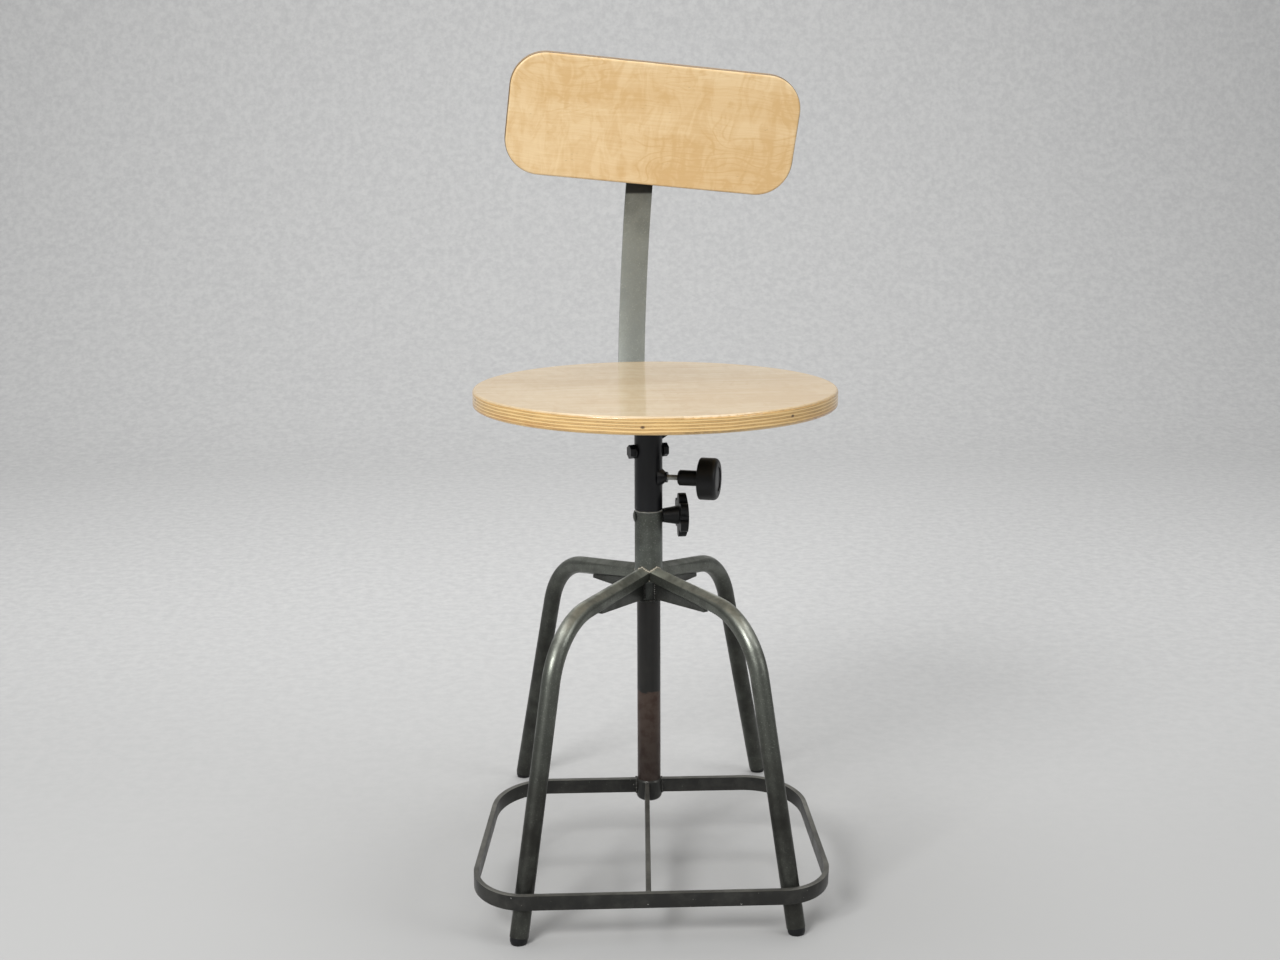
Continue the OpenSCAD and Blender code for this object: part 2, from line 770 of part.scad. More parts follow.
module cross_room() {
  reach = washer_t + max(cross_head, cross_nut_h) + joint_gap;
  for (x = [joint_gap - sleeve_r - reach, sleeve_r - joint_gap])
    along_x(cross_z, cross_turn) translate([0, 0, x]) cylinder(r = cross_room_r, h = reach);
}

module seat_tube() {
  color(steel_black) on_seat() difference() {
    translate([0, 0, tube_foot_z]) rotate_extrude() polygon([
      [core_r, 0],
      [sleeve_r - rim_chamfer, 0],
      [sleeve_r, rim_chamfer],
      [sleeve_r, seat_tube_len],
      [core_r, seat_tube_len]
    ]);
    clamp_hole(clamp_d / 2 + screw_gap);
    cross_hole();
  }
}

module clamp_boss() {
  sunk = sleeve_d / 10;
  color(steel_black) on_seat() difference() {
    along_x(clamp_z, clamp_turn) {
      translate([0, 0, sleeve_r - sunk])
        cylinder(d1 = boss_weld_d, d2 = boss_d, h = boss_weld_len + sunk);
      translate([0, 0, sleeve_r]) cylinder(d = boss_d, h = boss_end - sleeve_r);
    }
    cylinder(r = sleeve_r, h = 2 * clamp_z);
    clamp_hole(clamp_d / 2 + screw_gap);
  }
}

module post_bush() {
  top = clamp_z + bush_above;
  foot = tube_foot_z + bush_in;
  color(nylon) on_seat() difference() {
    translate([0, 0, foot]) tube(core_r, bore_r, top - foot);
    clamp_hole(clamp_d / 2 + screw_gap);
  }
}

module each_seat_screw() {
  for (x = [-screw_x, screw_x], y = [screw_in - plate_front, plate_rear - screw_in])
    translate([x, y, plate_z]) children();
}

module each_arm_bolt() {
  for (k = [0, 1])
    translate([carrier_side, bar_start + arm_bolt_in + k * arm_bolt_gap, plate_z]) children();
}

module seat_plate() {
  depth = plate_front + plate_rear;
  color(steel_black) on_seat() difference() {
    union() {
      translate([0, (plate_rear - plate_front) / 2, plate_z]) linear_extrude(plate_t) {
        square([plate_w - 2 * plate_r, depth], center = true);
        square([plate_w, depth - 2 * plate_r], center = true);
        for (x = [-1, 1], y = [-1, 1])
          translate([x * (plate_w / 2 - plate_r), y * (depth / 2 - plate_r)]) circle(r = plate_r);
      }
      translate([0, 0, spigot_z]) cylinder(r = core_r, h = plate_z - spigot_z + 1);
      difference() {
        translate([0, rib_t / 2, plate_z]) rotate([90, 0, 0]) linear_extrude(rib_t)
          polygon([[0, 1], [rib_len, 1], [rib_len, -rib_tip], [sleeve_r, -rib_deep], [0, -rib_deep]]);
        translate([0, 0, tube_foot_z]) cylinder(r = sleeve_r, h = seat_tube_len);
        cross_room();
      }
    }
    cross_hole();
    each_seat_screw() translate([0, 0, -1]) cylinder(d = screw_d, h = plate_t + 2);
    each_arm_bolt() translate([0, 0, -1]) cylinder(d = arm_bolt_d, h = plate_t + 2);
  }
}

module cross_bolt() {
  color(steel_black) on_seat() along_x(cross_z, cross_turn) {
    translate([0, 0, -sleeve_r - washer_t])
      cylinder(d = cross_d, h = 2 * sleeve_r + 2 * washer_t + cross_nut_h);
    translate([0, 0, -sleeve_r - washer_t - cross_head]) hex_prism(cross_af, cross_head);
  }
}

module cross_nut() {
  color(steel_black) on_seat() along_x(cross_z, cross_turn) translate([0, 0, sleeve_r + washer_t])
    difference() {
      hex_prism(cross_af, cross_nut_h);
      translate([0, 0, -1]) cylinder(d = cross_d, h = cross_nut_h + 2);
    }
}

module cross_washers() {
  color(zinc) on_seat() along_x(cross_z, cross_turn)
    for (x = [-sleeve_r - washer_t, sleeve_r]) translate([0, 0, x])
      tube(washer_d / 2, cross_d / 2, washer_t);
}

module seat_screws() {
  color(zinc) on_seat() each_seat_screw() {
    cylinder(d = screw_d, h = plate_t + screw_deep);
    translate([0, 0, -screw_head_h]) cylinder(d = screw_head_d, h = screw_head_h);
  }
}

module seat_panel() {
  color(birch) on_seat() difference() {
    translate([carrier_side, -seat_fwd, seat_z]) rotate_extrude()
      edge_section(seat_d / 2, seat_t, seat_arris);
    each_seat_screw() cylinder(d = screw_d, h = plate_t + screw_deep);
  }
}

// Back

// Moves on by a straight of length l and a bend of radius r that turns up by a
module bent_up(l, r, a) {
  translate([0, l, r]) rotate([a, 0, 0]) translate([0, 0, -r]) children();
}

// Bend of radius r through a, fuller by e all round and run on by run at its start
module bar_bend(r, a, e, run) {
  more = run / r * 180 / PI;
  translate([0, 0, r]) rotate([-more, 0, 0]) rotate([0, 90, 0]) rotate_extrude(angle = a + more)
    translate([r - bar_t / 2 - e, -bar_w / 2 - e]) square([bar_t + 2 * e, bar_w + 2 * e]);
}

module bar_straight(start, end) {
  translate([-bar_w / 2, start, -bar_t / 2]) cube([bar_w, end - start, bar_t]);
}

// The upright part of the bar, from the end of the arm; children stand on its straight top
module on_upright() {
  on_seat() translate([carrier_side, 0, arm_z]) rotate([0, bar_roll, 0])
    translate([0, bend_y, 0]) children();
}

module on_bar_top() {
  on_upright() bent_up(0, bar_bend_r, 90 - bar_lean)
    bent_up(0, bar_arc_r, bar_lean + back_lean) children();
}

module each_back_screw() {
  on_bar_top() for (y = [-back_screw_y, back_screw_y])
    translate([0, back_up + y, -bar_t / 2]) children();
}

module back_bar() {
  color(steel_grey) difference() {
    union() {
      on_seat() translate([carrier_side, 0, arm_z]) bar_straight(bar_start, bend_y + lap);
      on_upright() {
        bar_bend(bar_bend_r, 90 - bar_lean, 2 * swell, 0);
        bent_up(0, bar_bend_r, 90 - bar_lean)
          bar_bend(bar_arc_r, bar_lean + back_lean, swell, lap / 2);
      }
      on_bar_top() bar_straight(-lap, bar_top_len);
    }
    on_seat() each_arm_bolt() translate([0, 0, -bar_t - 1])
      cylinder(d = arm_bolt_d, h = bar_t + 2);
    each_back_screw() translate([0, 0, -1]) cylinder(d = screw_d, h = bar_t + 2);
  }
}

module arm_bolts() {
  color(steel_black) on_seat() each_arm_bolt() {
    translate([0, 0, -bar_t]) cylinder(d = arm_bolt_d, h = bar_t + plate_t);
    translate([0, 0, -bar_t - arm_bolt_head]) hex_prism(arm_bolt_af, arm_bolt_head);
  }
}

module backrest_panel() {
  color(birch) difference() {
    on_bar_top() translate([back_side, back_up, bar_t / 2]) rotate([0, 0, -back_roll])
      board(back_w, back_h, back_t, back_r, back_arris);
    each_back_screw() cylinder(d = screw_d, h = bar_t + back_t - back_screw_skin);
  }
}

module backrest_screws() {
  color(zinc) each_back_screw() {
    cylinder(d = screw_d, h = bar_t + back_t - back_screw_skin);
    translate([0, 0, -screw_head_h]) cylinder(d = screw_head_d, h = screw_head_h);
  }
}

// Clamp knob

module clamp_screw() {
  r = clamp_d / 2;
  turns = floor((screw_end_x - tip_x - 2 * thread_lead) / thread_pitch);
  color(zinc) on_seat() along_x(clamp_z, clamp_turn) translate([0, 0, tip_x])
    rotate_extrude() polygon(concat(
      [[0, 0], [r - thread_deep, 0]],
      [for (k = [0 : turns - 1], p = [[0.1, thread_deep], [0.45, 0], [0.65, 0], [1, thread_deep]])
        [r - p[1], thread_lead + (k + p[0]) * thread_pitch]],
      [[r - thread_deep, screw_end_x - tip_x], [0, screw_end_x - tip_x]]
    ));
}

module clamp_knob() {
  hr = clamp_head_d / 2;
  color(knob_black) on_seat() along_x(clamp_z, clamp_turn) difference() {
    rotate_extrude() {
      translate([0, neck_x]) polygon([
        [0, 0], [neck_d / 2 - neck_chamfer, 0], [neck_d / 2, neck_chamfer],
        [neck_d / 2, neck_len], [0, neck_len]
      ]);
      translate([0, head_x]) {
        square([hr - clamp_round, clamp_head_len]);
        translate([0, clamp_back_round])
          square([hr, clamp_head_len - clamp_round - clamp_back_round]);
        square([hr - clamp_back_round, clamp_head_len - clamp_round]);
        translate([hr - clamp_back_round, clamp_back_round]) circle(r = clamp_back_round);
        translate([hr - clamp_round, clamp_head_len - clamp_round]) circle(r = clamp_round);
      }
    }
    translate([0, 0, neck_x - 1])
      cylinder(r = clamp_d / 2 + screw_gap, h = screw_end_x - neck_x + screw_room + 1);
    translate([0, 0, head_x + clamp_head_len - cap_deep]) cylinder(d = cap_d, h = cap_deep + 1);
  }
}

module clamp_cap() {
  color(steel_black) on_seat() along_x(clamp_z, clamp_turn)
    translate([0, 0, head_x + clamp_head_len - cap_deep]) cylinder(d = cap_d, h = cap_t);
}

// Nodes

centre_tube();
hub_sleeve();
leg(NEAR_LEFT);  // leg_near_left
leg(NEAR_RIGHT);  // leg_near_right
leg(FAR_LEFT);  // leg_far_left
leg(FAR_RIGHT);  // leg_far_right
gusset(NEAR_LEFT);  // gusset_near_left
gusset(NEAR_RIGHT);  // gusset_near_right
gusset(FAR_LEFT);  // gusset_far_left
gusset(FAR_RIGHT);  // gusset_far_right
plug(NEAR_LEFT);  // plug_near_left
plug(NEAR_RIGHT);  // plug_near_right
plug(FAR_LEFT);  // plug_far_left
plug(FAR_RIGHT);  // plug_far_right
collar();
footrest_hoop();
footrest_strut();
star_bolt();
star_knob();
seat_post();
seat_tube();
clamp_boss();
post_bush();
seat_plate();
cross_bolt();
cross_nut();
cross_washers();
seat_screws();
seat_panel();
back_bar();
arm_bolts();
backrest_panel();
backrest_screws();
clamp_screw();
clamp_knob();
clamp_cap();
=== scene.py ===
"""Dresses the swivel chair: finishes, pressed legs, weld beads, softened edges and the studio.

All lengths are in metres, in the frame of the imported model: +Z up, the floor at Z = 0, and the
front towards -Y.
"""

from __future__ import annotations

import json
import logging
import math
from dataclasses import dataclass, field
from enum import Enum

import bmesh
import bpy
from bpy.types import ID, Material, Node, NodeOutputs, NodeTree, Object
from bpy.types import NodeSocket as Socket
from mathutils import Matrix, Vector

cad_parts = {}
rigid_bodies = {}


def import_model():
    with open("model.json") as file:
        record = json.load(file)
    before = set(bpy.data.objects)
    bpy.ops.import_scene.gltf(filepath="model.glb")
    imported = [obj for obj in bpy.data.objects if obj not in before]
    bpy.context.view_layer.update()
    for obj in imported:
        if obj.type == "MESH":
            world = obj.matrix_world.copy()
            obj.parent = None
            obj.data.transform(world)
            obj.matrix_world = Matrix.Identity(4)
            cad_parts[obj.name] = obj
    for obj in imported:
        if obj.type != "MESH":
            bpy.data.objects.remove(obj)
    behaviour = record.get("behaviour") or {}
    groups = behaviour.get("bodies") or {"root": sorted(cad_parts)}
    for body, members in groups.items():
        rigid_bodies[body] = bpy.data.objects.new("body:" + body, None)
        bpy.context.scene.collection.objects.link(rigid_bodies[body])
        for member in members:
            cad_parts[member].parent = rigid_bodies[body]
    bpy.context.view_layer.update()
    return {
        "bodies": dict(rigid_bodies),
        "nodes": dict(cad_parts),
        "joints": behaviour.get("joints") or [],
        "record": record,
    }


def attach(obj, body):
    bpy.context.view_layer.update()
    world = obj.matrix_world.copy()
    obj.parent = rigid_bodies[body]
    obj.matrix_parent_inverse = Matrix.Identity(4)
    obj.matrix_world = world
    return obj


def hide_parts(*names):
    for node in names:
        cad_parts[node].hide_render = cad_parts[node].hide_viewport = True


LOG = logging.getLogger("swivel_chair")
Triple = tuple[float, float, float]
Color = Triple

VECTOR = "NodeSocketVector"
FLOAT = "NodeSocketFloat"
COLOR = "NodeSocketColor"

MM = 0.001
COLUMN = Vector((-4.90, 1.36, 0.0)) * MM


class Body(Enum):
    """The rigid bodies that new pieces ride on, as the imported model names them."""

    BASE = "base"
    STAR = "star_knob"
    SEAT = "seat"


class Slot(Enum):
    """The shared finishes, by the record's material slots."""

    GREY = "grey_enamel"
    DARK = "dark_steel"
    TUBE = "tube_steel"
    BLACK = "black_steel"
    PLASTIC = "black_plastic"
    ZINC = "zinc"
    BRIGHT = "bright_steel"
    NYLON = "nylon"


def srgb(red: float, green: float, blue: float) -> Color:
    """Turns a colour as seen, each part from 0 to 255, into linear light from 0 to 1."""
    out = []
    for value in (red, green, blue):
        part = value / 255.0
        out.append(part / 12.92 if part <= 0.04045 else ((part + 0.055) / 1.055) ** 2.4)
    return (out[0], out[1], out[2])


def show(name: str, data: ID) -> Object:
    """Adds an object with the given mesh, light or camera to the scene."""
    made = bpy.data.objects.new(name, data)
    bpy.context.scene.collection.objects.link(made)
    return made


def upright(foot: Vector, low: float, high: float) -> list[Vector]:
    """Gives an upright path over a point of the floor, between two heights."""
    return [foot + Vector((0, 0, low)), foot + Vector((0, 0, high))]


# Node trees


@dataclass
class Tree:
    """Short ways to add and join nodes in one node tree."""

    tree: NodeTree

    def feed(self, socket: Socket, value: object) -> None:
        """Links a socket to an input, or sets the input's own value.

        Args:
            socket: The input to feed.
            value: Another node's output, or a value of the input's kind.
        """
        if isinstance(value, Socket):
            self.tree.links.new(value, socket)
        elif socket.type == "RGBA" and len(value) == 3:
            socket.default_value = (*value, 1.0)
        else:
            socket.default_value = value

    def add(self, kind: str, inputs: dict[str | int, object] | None = None, **settings: object) -> Node:
        """Adds a node and feeds it.

        Args:
            kind: The node's type name.
            inputs: What its inputs take, by their name or number.
            **settings: Properties to set on it first.

        Returns:
            The new node.
        """
        node = self.tree.nodes.new(kind)
        for name, value in settings.items():
            setattr(node, name, value)
        for key, value in (inputs or {}).items():
            self.feed(node.inputs[key], value)
        return node

    def math(self, operation: str, first: object, second: object = 0.0, clamp: bool = False) -> Socket:
        """Adds a Math node and returns its value."""
        node = self.add("ShaderNodeMath", {0: first, 1: second}, operation=operation, use_clamp=clamp)
        return node.outputs[0]

    def plus(self, first: object, second: object, clamp: bool = False) -> Socket:
        """Adds two values, kept within 0 to 1 if clamp is set."""
        return self.math("ADD", first, second, clamp)

    def minus(self, first: object, second: object) -> Socket:
        """Takes the second value from the first."""
        return self.math("SUBTRACT", first, second)

    def times(self, first: object, second: object, clamp: bool = False) -> Socket:
        """Multiplies two values, kept within 0 to 1 if clamp is set."""
        return self.math("MULTIPLY", first, second, clamp)

    def span(self, value: object, low: float, high: float, to_low: float = 0.0,
             to_high: float = 1.0) -> Socket:
        """Maps a value smoothly from the range low to high to the range to_low to to_high."""
        limits = {"From Min": low, "From Max": high, "To Min": to_low, "To Max": to_high}
        node = self.add("ShaderNodeMapRange", {"Value": value, **limits}, interpolation_type="SMOOTHSTEP")
        return node.outputs[0]

    def between(self, value: Socket, low: float, high: float, outer: float, inner: float) -> Socket:
        """Marks where a value is between two limits; it fades over a margin outside and inside each."""
        return self.times(self.span(value, low - outer, low + inner),
                          self.span(value, high + outer, high - inner))

    def mix(self, factor: object, first: object, second: object) -> Socket:
        """Mixes two colours; the factor is how much of the second shows."""
        return self.add("ShaderNodeMix", {0: factor, 6: first, 7: second}, data_type="RGBA").outputs[2]

    def stretch(self, vector: object, scales: Triple) -> Socket:
        """Scales a vector along each axis."""
        node = self.add("ShaderNodeVectorMath", {0: vector, 1: scales}, operation="MULTIPLY")
        return node.outputs[0]

    def noise(self, vector: object, scale: float | Triple, detail: float = 4.0, rough: float = 0.55,
              distortion: float = 0.0) -> Socket:
        """Adds a noise texture.

        Args:
            vector: Where it is read.
            scale: How fine it is, or how fine along each axis.
            detail: How many octaves it has.
            rough: How strong the finer octaves are.
            distortion: How much it is warped.

        Returns:
            The noise, about 0.5.
        """
        if isinstance(scale, tuple):
            vector = self.stretch(vector, scale)
            scale = 1.0
        node = self.add("ShaderNodeTexNoise", {"Vector": vector, "Scale": scale, "Detail": detail,
                                               "Roughness": rough, "Distortion": distortion})
        return node.outputs["Fac"]

    def parts(self, vector: object) -> NodeOutputs:
        """Splits a vector into X, Y and Z."""
        return self.add("ShaderNodeSeparateXYZ", {0: vector}).outputs

    def here(self) -> Socket:
        """Gives plain Object coordinates."""
        return self.add("ShaderNodeTexCoord").outputs["Object"]

    def place(self, frame: Matrix) -> Socket:
        """Gives Object coordinates in the frame that a matrix places."""
        node = self.add("ShaderNodeMapping", {"Vector": self.here(), "Location": frame.translation,
                                              "Rotation": frame.to_euler("XYZ")}, vector_type="TEXTURE")
        return node.outputs["Vector"]

    def facing(self, axis: int, low: float, high: float) -> Socket:
        """Tells how much the surface faces along an axis of its object, from 0 at low to 1 at high."""
        normal = self.add("ShaderNodeTexCoord").outputs["Normal"]
        return self.span(self.parts(normal)[axis], low, high)


@dataclass
class EffectGroup:
    """One shared shader effect, whose inputs are Vector, some colours and some numbers.

    Attributes:
        given: What its inputs bring, by name.
    """

    name: str
    colors: tuple[str, ...]
    numbers: tuple[str, ...] = ()
    kit: Tree = field(init=False)
    given: NodeOutputs = field(init=False)

    def __post_init__(self) -> None:
        """Makes the group with its inputs."""
        tree = bpy.data.node_groups.new(self.name, "ShaderNodeTree")
        kinds = {"Vector": VECTOR} | dict.fromkeys(self.colors, COLOR) | dict.fromkeys(self.numbers, FLOAT)
        for name, kind in kinds.items():
            tree.interface.new_socket(name, in_out="INPUT", socket_type=kind)
        self.kit = Tree(tree)
        self.given = self.kit.add("NodeGroupInput").outputs

    def give(self, **values: Socket) -> None:
        """Makes the group's outputs by name; Color is a colour, and the others are numbers."""
        for name in values:
            kind = COLOR if name == "Color" else FLOAT
            self.kit.tree.interface.new_socket(name, in_out="OUTPUT", socket_type=kind)
        self.kit.add("NodeGroupOutput", values)

    def use(self, kit: Tree, **values: object) -> NodeOutputs:
        """Places the group in a material.

        Args:
            kit: The material's tree.
            **values: An input's name with _ for each space, and its value or link.

        Returns:
            The group's outputs.
        """
        inputs = {name.replace("_", " "): value for name, value in values.items()}
        return kit.add("ShaderNodeGroup", inputs, node_tree=self.kit.tree).outputs


@dataclass
class Effects:
    """The effects that more than one material uses."""

    grain: EffectGroup = field(init=False)
    plies: EffectGroup = field(init=False)
    hammer: EffectGroup = field(init=False)
    wear: EffectGroup = field(init=False)
    dust: EffectGroup = field(init=False)

    def __post_init__(self) -> None:
        """Builds each effect once."""
        self.build_grain()
        self.build_plies()
        self.build_hammer()
        self.build_wear()
        self.build_dust()

    def build_grain(self) -> None:
        """Builds birch grain that runs along X: fibres, wavy figure, ring lines and small flecks."""
        self.grain = EffectGroup("birch_grain", ("Light", "Dark", "Fleck Color"),
                                 ("Figure", "Fibre", "Rings"))
        kit, given = self.grain.kit, self.grain.given
        where = given["Vector"]
        sway = kit.times(kit.minus(kit.noise(where, 9.0, 2.0), 0.5), 0.02)
        sideways = kit.add("ShaderNodeCombineXYZ", {1: sway}).outputs[0]
        bent = kit.add("ShaderNodeVectorMath", {0: where, 1: sideways}, operation="ADD").outputs[0]
        fibre = kit.noise(bent, (14.0, 420.0, 420.0), 5.0, 0.62)
        band = kit.noise(bent, (3.0, 34.0, 34.0), 3.0, 0.5)
        flame = kit.noise(bent, (62.0, 26.0, 26.0), 3.0, 0.6, 1.2)
        rings = kit.noise(bent, (4.5, 15.0, 15.0), 2.5, 0.5, 0.4)
        cloud = kit.noise(where, 11.0, 2.0)
        figure = kit.times(kit.span(flame, 0.38, 0.68), given["Figure"])
        streak = kit.times(kit.span(fibre, 0.35, 0.7), given["Fibre"])
        tone = kit.plus(kit.plus(kit.times(kit.span(band, 0.3, 0.72), 0.42), figure), streak)
        tone = kit.plus(tone, kit.times(kit.span(cloud, 0.3, 0.7), 0.22), clamp=True)
        ripple = kit.math("FRACT", kit.times(rings, 26.0))
        line = kit.span(kit.math("ABSOLUTE", kit.minus(ripple, 0.5)), 0.16, 0.0)
        line = kit.times(line, kit.span(cloud, 0.42, 0.62, 0.15, 1.0))
        tone = kit.plus(tone, kit.times(line, given["Rings"]), clamp=True)
        cells = kit.add("ShaderNodeTexVoronoi",
                        {"Vector": kit.stretch(where, (110.0, 720.0, 720.0)), "Scale": 1.0}, feature="F1")
        rare = kit.span(kit.noise(where, (40.0, 90.0, 90.0), 2.0), 0.58, 0.68)
        fleck = kit.times(kit.span(cells.outputs["Distance"], 0.2, 0.1), rare, clamp=True)
        base = kit.mix(tone, given["Light"], given["Dark"])
        self.grain.give(Color=kit.mix(kit.times(fleck, 0.5), base, given["Fleck Color"]),
                        Height=kit.minus(fibre, kit.times(fleck, 0.6)),
                        Roughness=kit.span(fibre, 0.3, 0.7, 0.42, 0.52))

    def build_plies(self) -> None:
        """Builds the plies of a board's edge, by depth below its face."""
        self.plies = EffectGroup("ply_edge", ("Face", "Long", "Cross", "Glue"), ("Depth", "Ply"))
        kit, given = self.plies.kit, self.plies.given
        where = given["Vector"]
        wander = kit.minus(kit.noise(where, (16.0, 16.0, 5.0), 2.0), 0.5)
        depth = kit.plus(kit.math("DIVIDE", given["Depth"], given["Ply"]), wander)
        whole = kit.math("FLOOR", depth)
        inside = kit.minus(depth, whole)
        odd = kit.math("MODULO", kit.math("ABSOLUTE", whole), 2.0)
        streak = kit.noise(where, (60.0, 60.0, 1500.0), 4.0, 0.6)
        pores = kit.noise(where, (700.0, 700.0, 900.0), 3.0, 0.6)
        broken = kit.noise(where, (26.0, 26.0, 300.0), 3.0)
        shade = kit.plus(kit.times(kit.span(streak, 0.3, 0.7), 0.5),
                         kit.times(kit.span(pores, 0.35, 0.7), 0.35), clamp=True)
        long = kit.mix(kit.times(shade, 0.45), given["Long"], given["Cross"])
        cross = kit.mix(kit.times(shade, 0.55), given["Cross"], given["Glue"])
        line = kit.plus(kit.span(inside, 0.14, 0.02), kit.span(inside, 0.9, 0.99), clamp=True)
        line = kit.times(line, kit.span(broken, 0.38, 0.6, 0.12, 1.0))
        layered = kit.mix(line, kit.mix(odd, long, cross), given["Glue"])
        edge = kit.span(depth, 0.75, 0.98)
        self.plies.give(Color=kit.mix(edge, given["Face"], layered),
                        Height=kit.times(kit.minus(pores, line), edge))

    def build_hammer(self) -> None:
        """Builds the fine dimples and uneven tone of hammered enamel."""
        self.hammer = EffectGroup("hammered_coat", ("Base", "Pale", "Deep"))
        kit, given = self.hammer.kit, self.hammer.given
        where = given["Vector"]
        dimple = kit.noise(where, 620.0, 3.0, 0.5)
        broad = kit.noise(where, 42.0, 3.0)
        speck = kit.noise(where, 1500.0, 2.0, 0.6)
        color = kit.mix(kit.span(broad, 0.35, 0.7, 0.0, 0.7), given["Base"], given["Deep"])
        color = kit.mix(kit.span(dimple, 0.55, 0.75, 0.0, 0.6), color, given["Pale"])
        color = kit.mix(kit.span(speck, 0.64, 0.72, 0.0, 0.55), color, given["Pale"])
        self.hammer.give(Color=color, Height=dimple, Roughness=kit.span(broad, 0.3, 0.7, 0.34, 0.5))

    def build_wear(self) -> None:
        """Builds patches where a coat has worn, within a soft zone."""
        self.wear = EffectGroup("worn_patch", ("Under", "Coat"), ("Zone",))
        kit, given = self.wear.kit, self.wear.given
        where = given["Vector"]
        patch = kit.noise(where, 55.0, 6.0, 0.68, 0.5)
        fine = kit.noise(where, 900.0, 3.0, 0.6)
        value = kit.plus(patch, kit.times(kit.minus(fine, 0.5), 0.18))
        value = kit.plus(value, kit.times(kit.minus(given["Zone"], 1.0), 0.4))
        worn = kit.times(kit.span(value, 0.5, 0.62), 0.8)
        self.wear.give(Color=kit.mix(worn, given["Coat"], given["Under"]))

    def build_dust(self) -> None:
        """Builds a thin uneven film of dust and fine scuffs."""
        self.dust = EffectGroup("dust_film", ("Coat", "Dust"), ("Amount",))
        kit, given = self.dust.kit, self.dust.given
        where = given["Vector"]
        film = kit.noise(where, 38.0, 5.0, 0.65)
        grit = kit.noise(where, 1300.0, 2.0, 0.6)
        scuff = kit.noise(where, (160.0, 160.0, 24.0), 4.0, 0.6, 0.8)
        dirt = kit.plus(kit.span(film, 0.4, 0.75), kit.span(scuff, 0.62, 0.7, 0.0, 0.5))
        amount = kit.times(dirt, given["Amount"], clamp=True)
        self.dust.give(Color=kit.mix(amount, given["Coat"], given["Dust"]), Height=grit,
                       Roughness=kit.span(film, 0.3, 0.75, 0.3, 0.48))


# Finishes


@dataclass
class Coat(Tree):
    """The tree of a material under way, with its shader and the shared effects."""

    effects: Effects
    shader: Node = field(init=False)

    def __post_init__(self) -> None:
        """Gives the tree nothing but a shader and its output."""
        self.tree.nodes.clear()
        self.shader = self.add("ShaderNodeBsdfPrincipled")
        self.add("ShaderNodeOutputMaterial", {"Surface": self.shader.outputs["BSDF"]})

    def dress(self, **values: object) -> None:
        """Feeds the shader's own inputs, each named with _ for each space."""
        for name, value in values.items():
            self.feed(self.shader.inputs[name.replace("_", " ")], value)

    def bump(self, height: Socket, depth: float) -> None:
        """Gives the surface relief.

        Args:
            height: The height, about 0 to 1.
            depth: How deep a step of 1 is.
        """
        relief = self.add("ShaderNodeBump", {"Height": height, "Distance": depth, "Strength": 1.0})
        self.dress(Normal=relief.outputs["Normal"])


@dataclass(frozen=True)
class Finish:
    """What every finish has: the name of its material, and the way it is made."""

    name: str

    def make(self, effects: Effects) -> Material:
        """Makes the material.

        Args:
            effects: The shared effects.

        Returns:
            The material.
        """
        material = bpy.data.materials.new(self.name)
        material.use_nodes = True
        self.paint(Coat(material.node_tree, effects))
        return material

    def paint(self, kit: Coat) -> None:
        """Lays the finish; each kind has its own way.

        Args:
            kit: The material under way.
        """
        raise NotImplementedError(self.name)


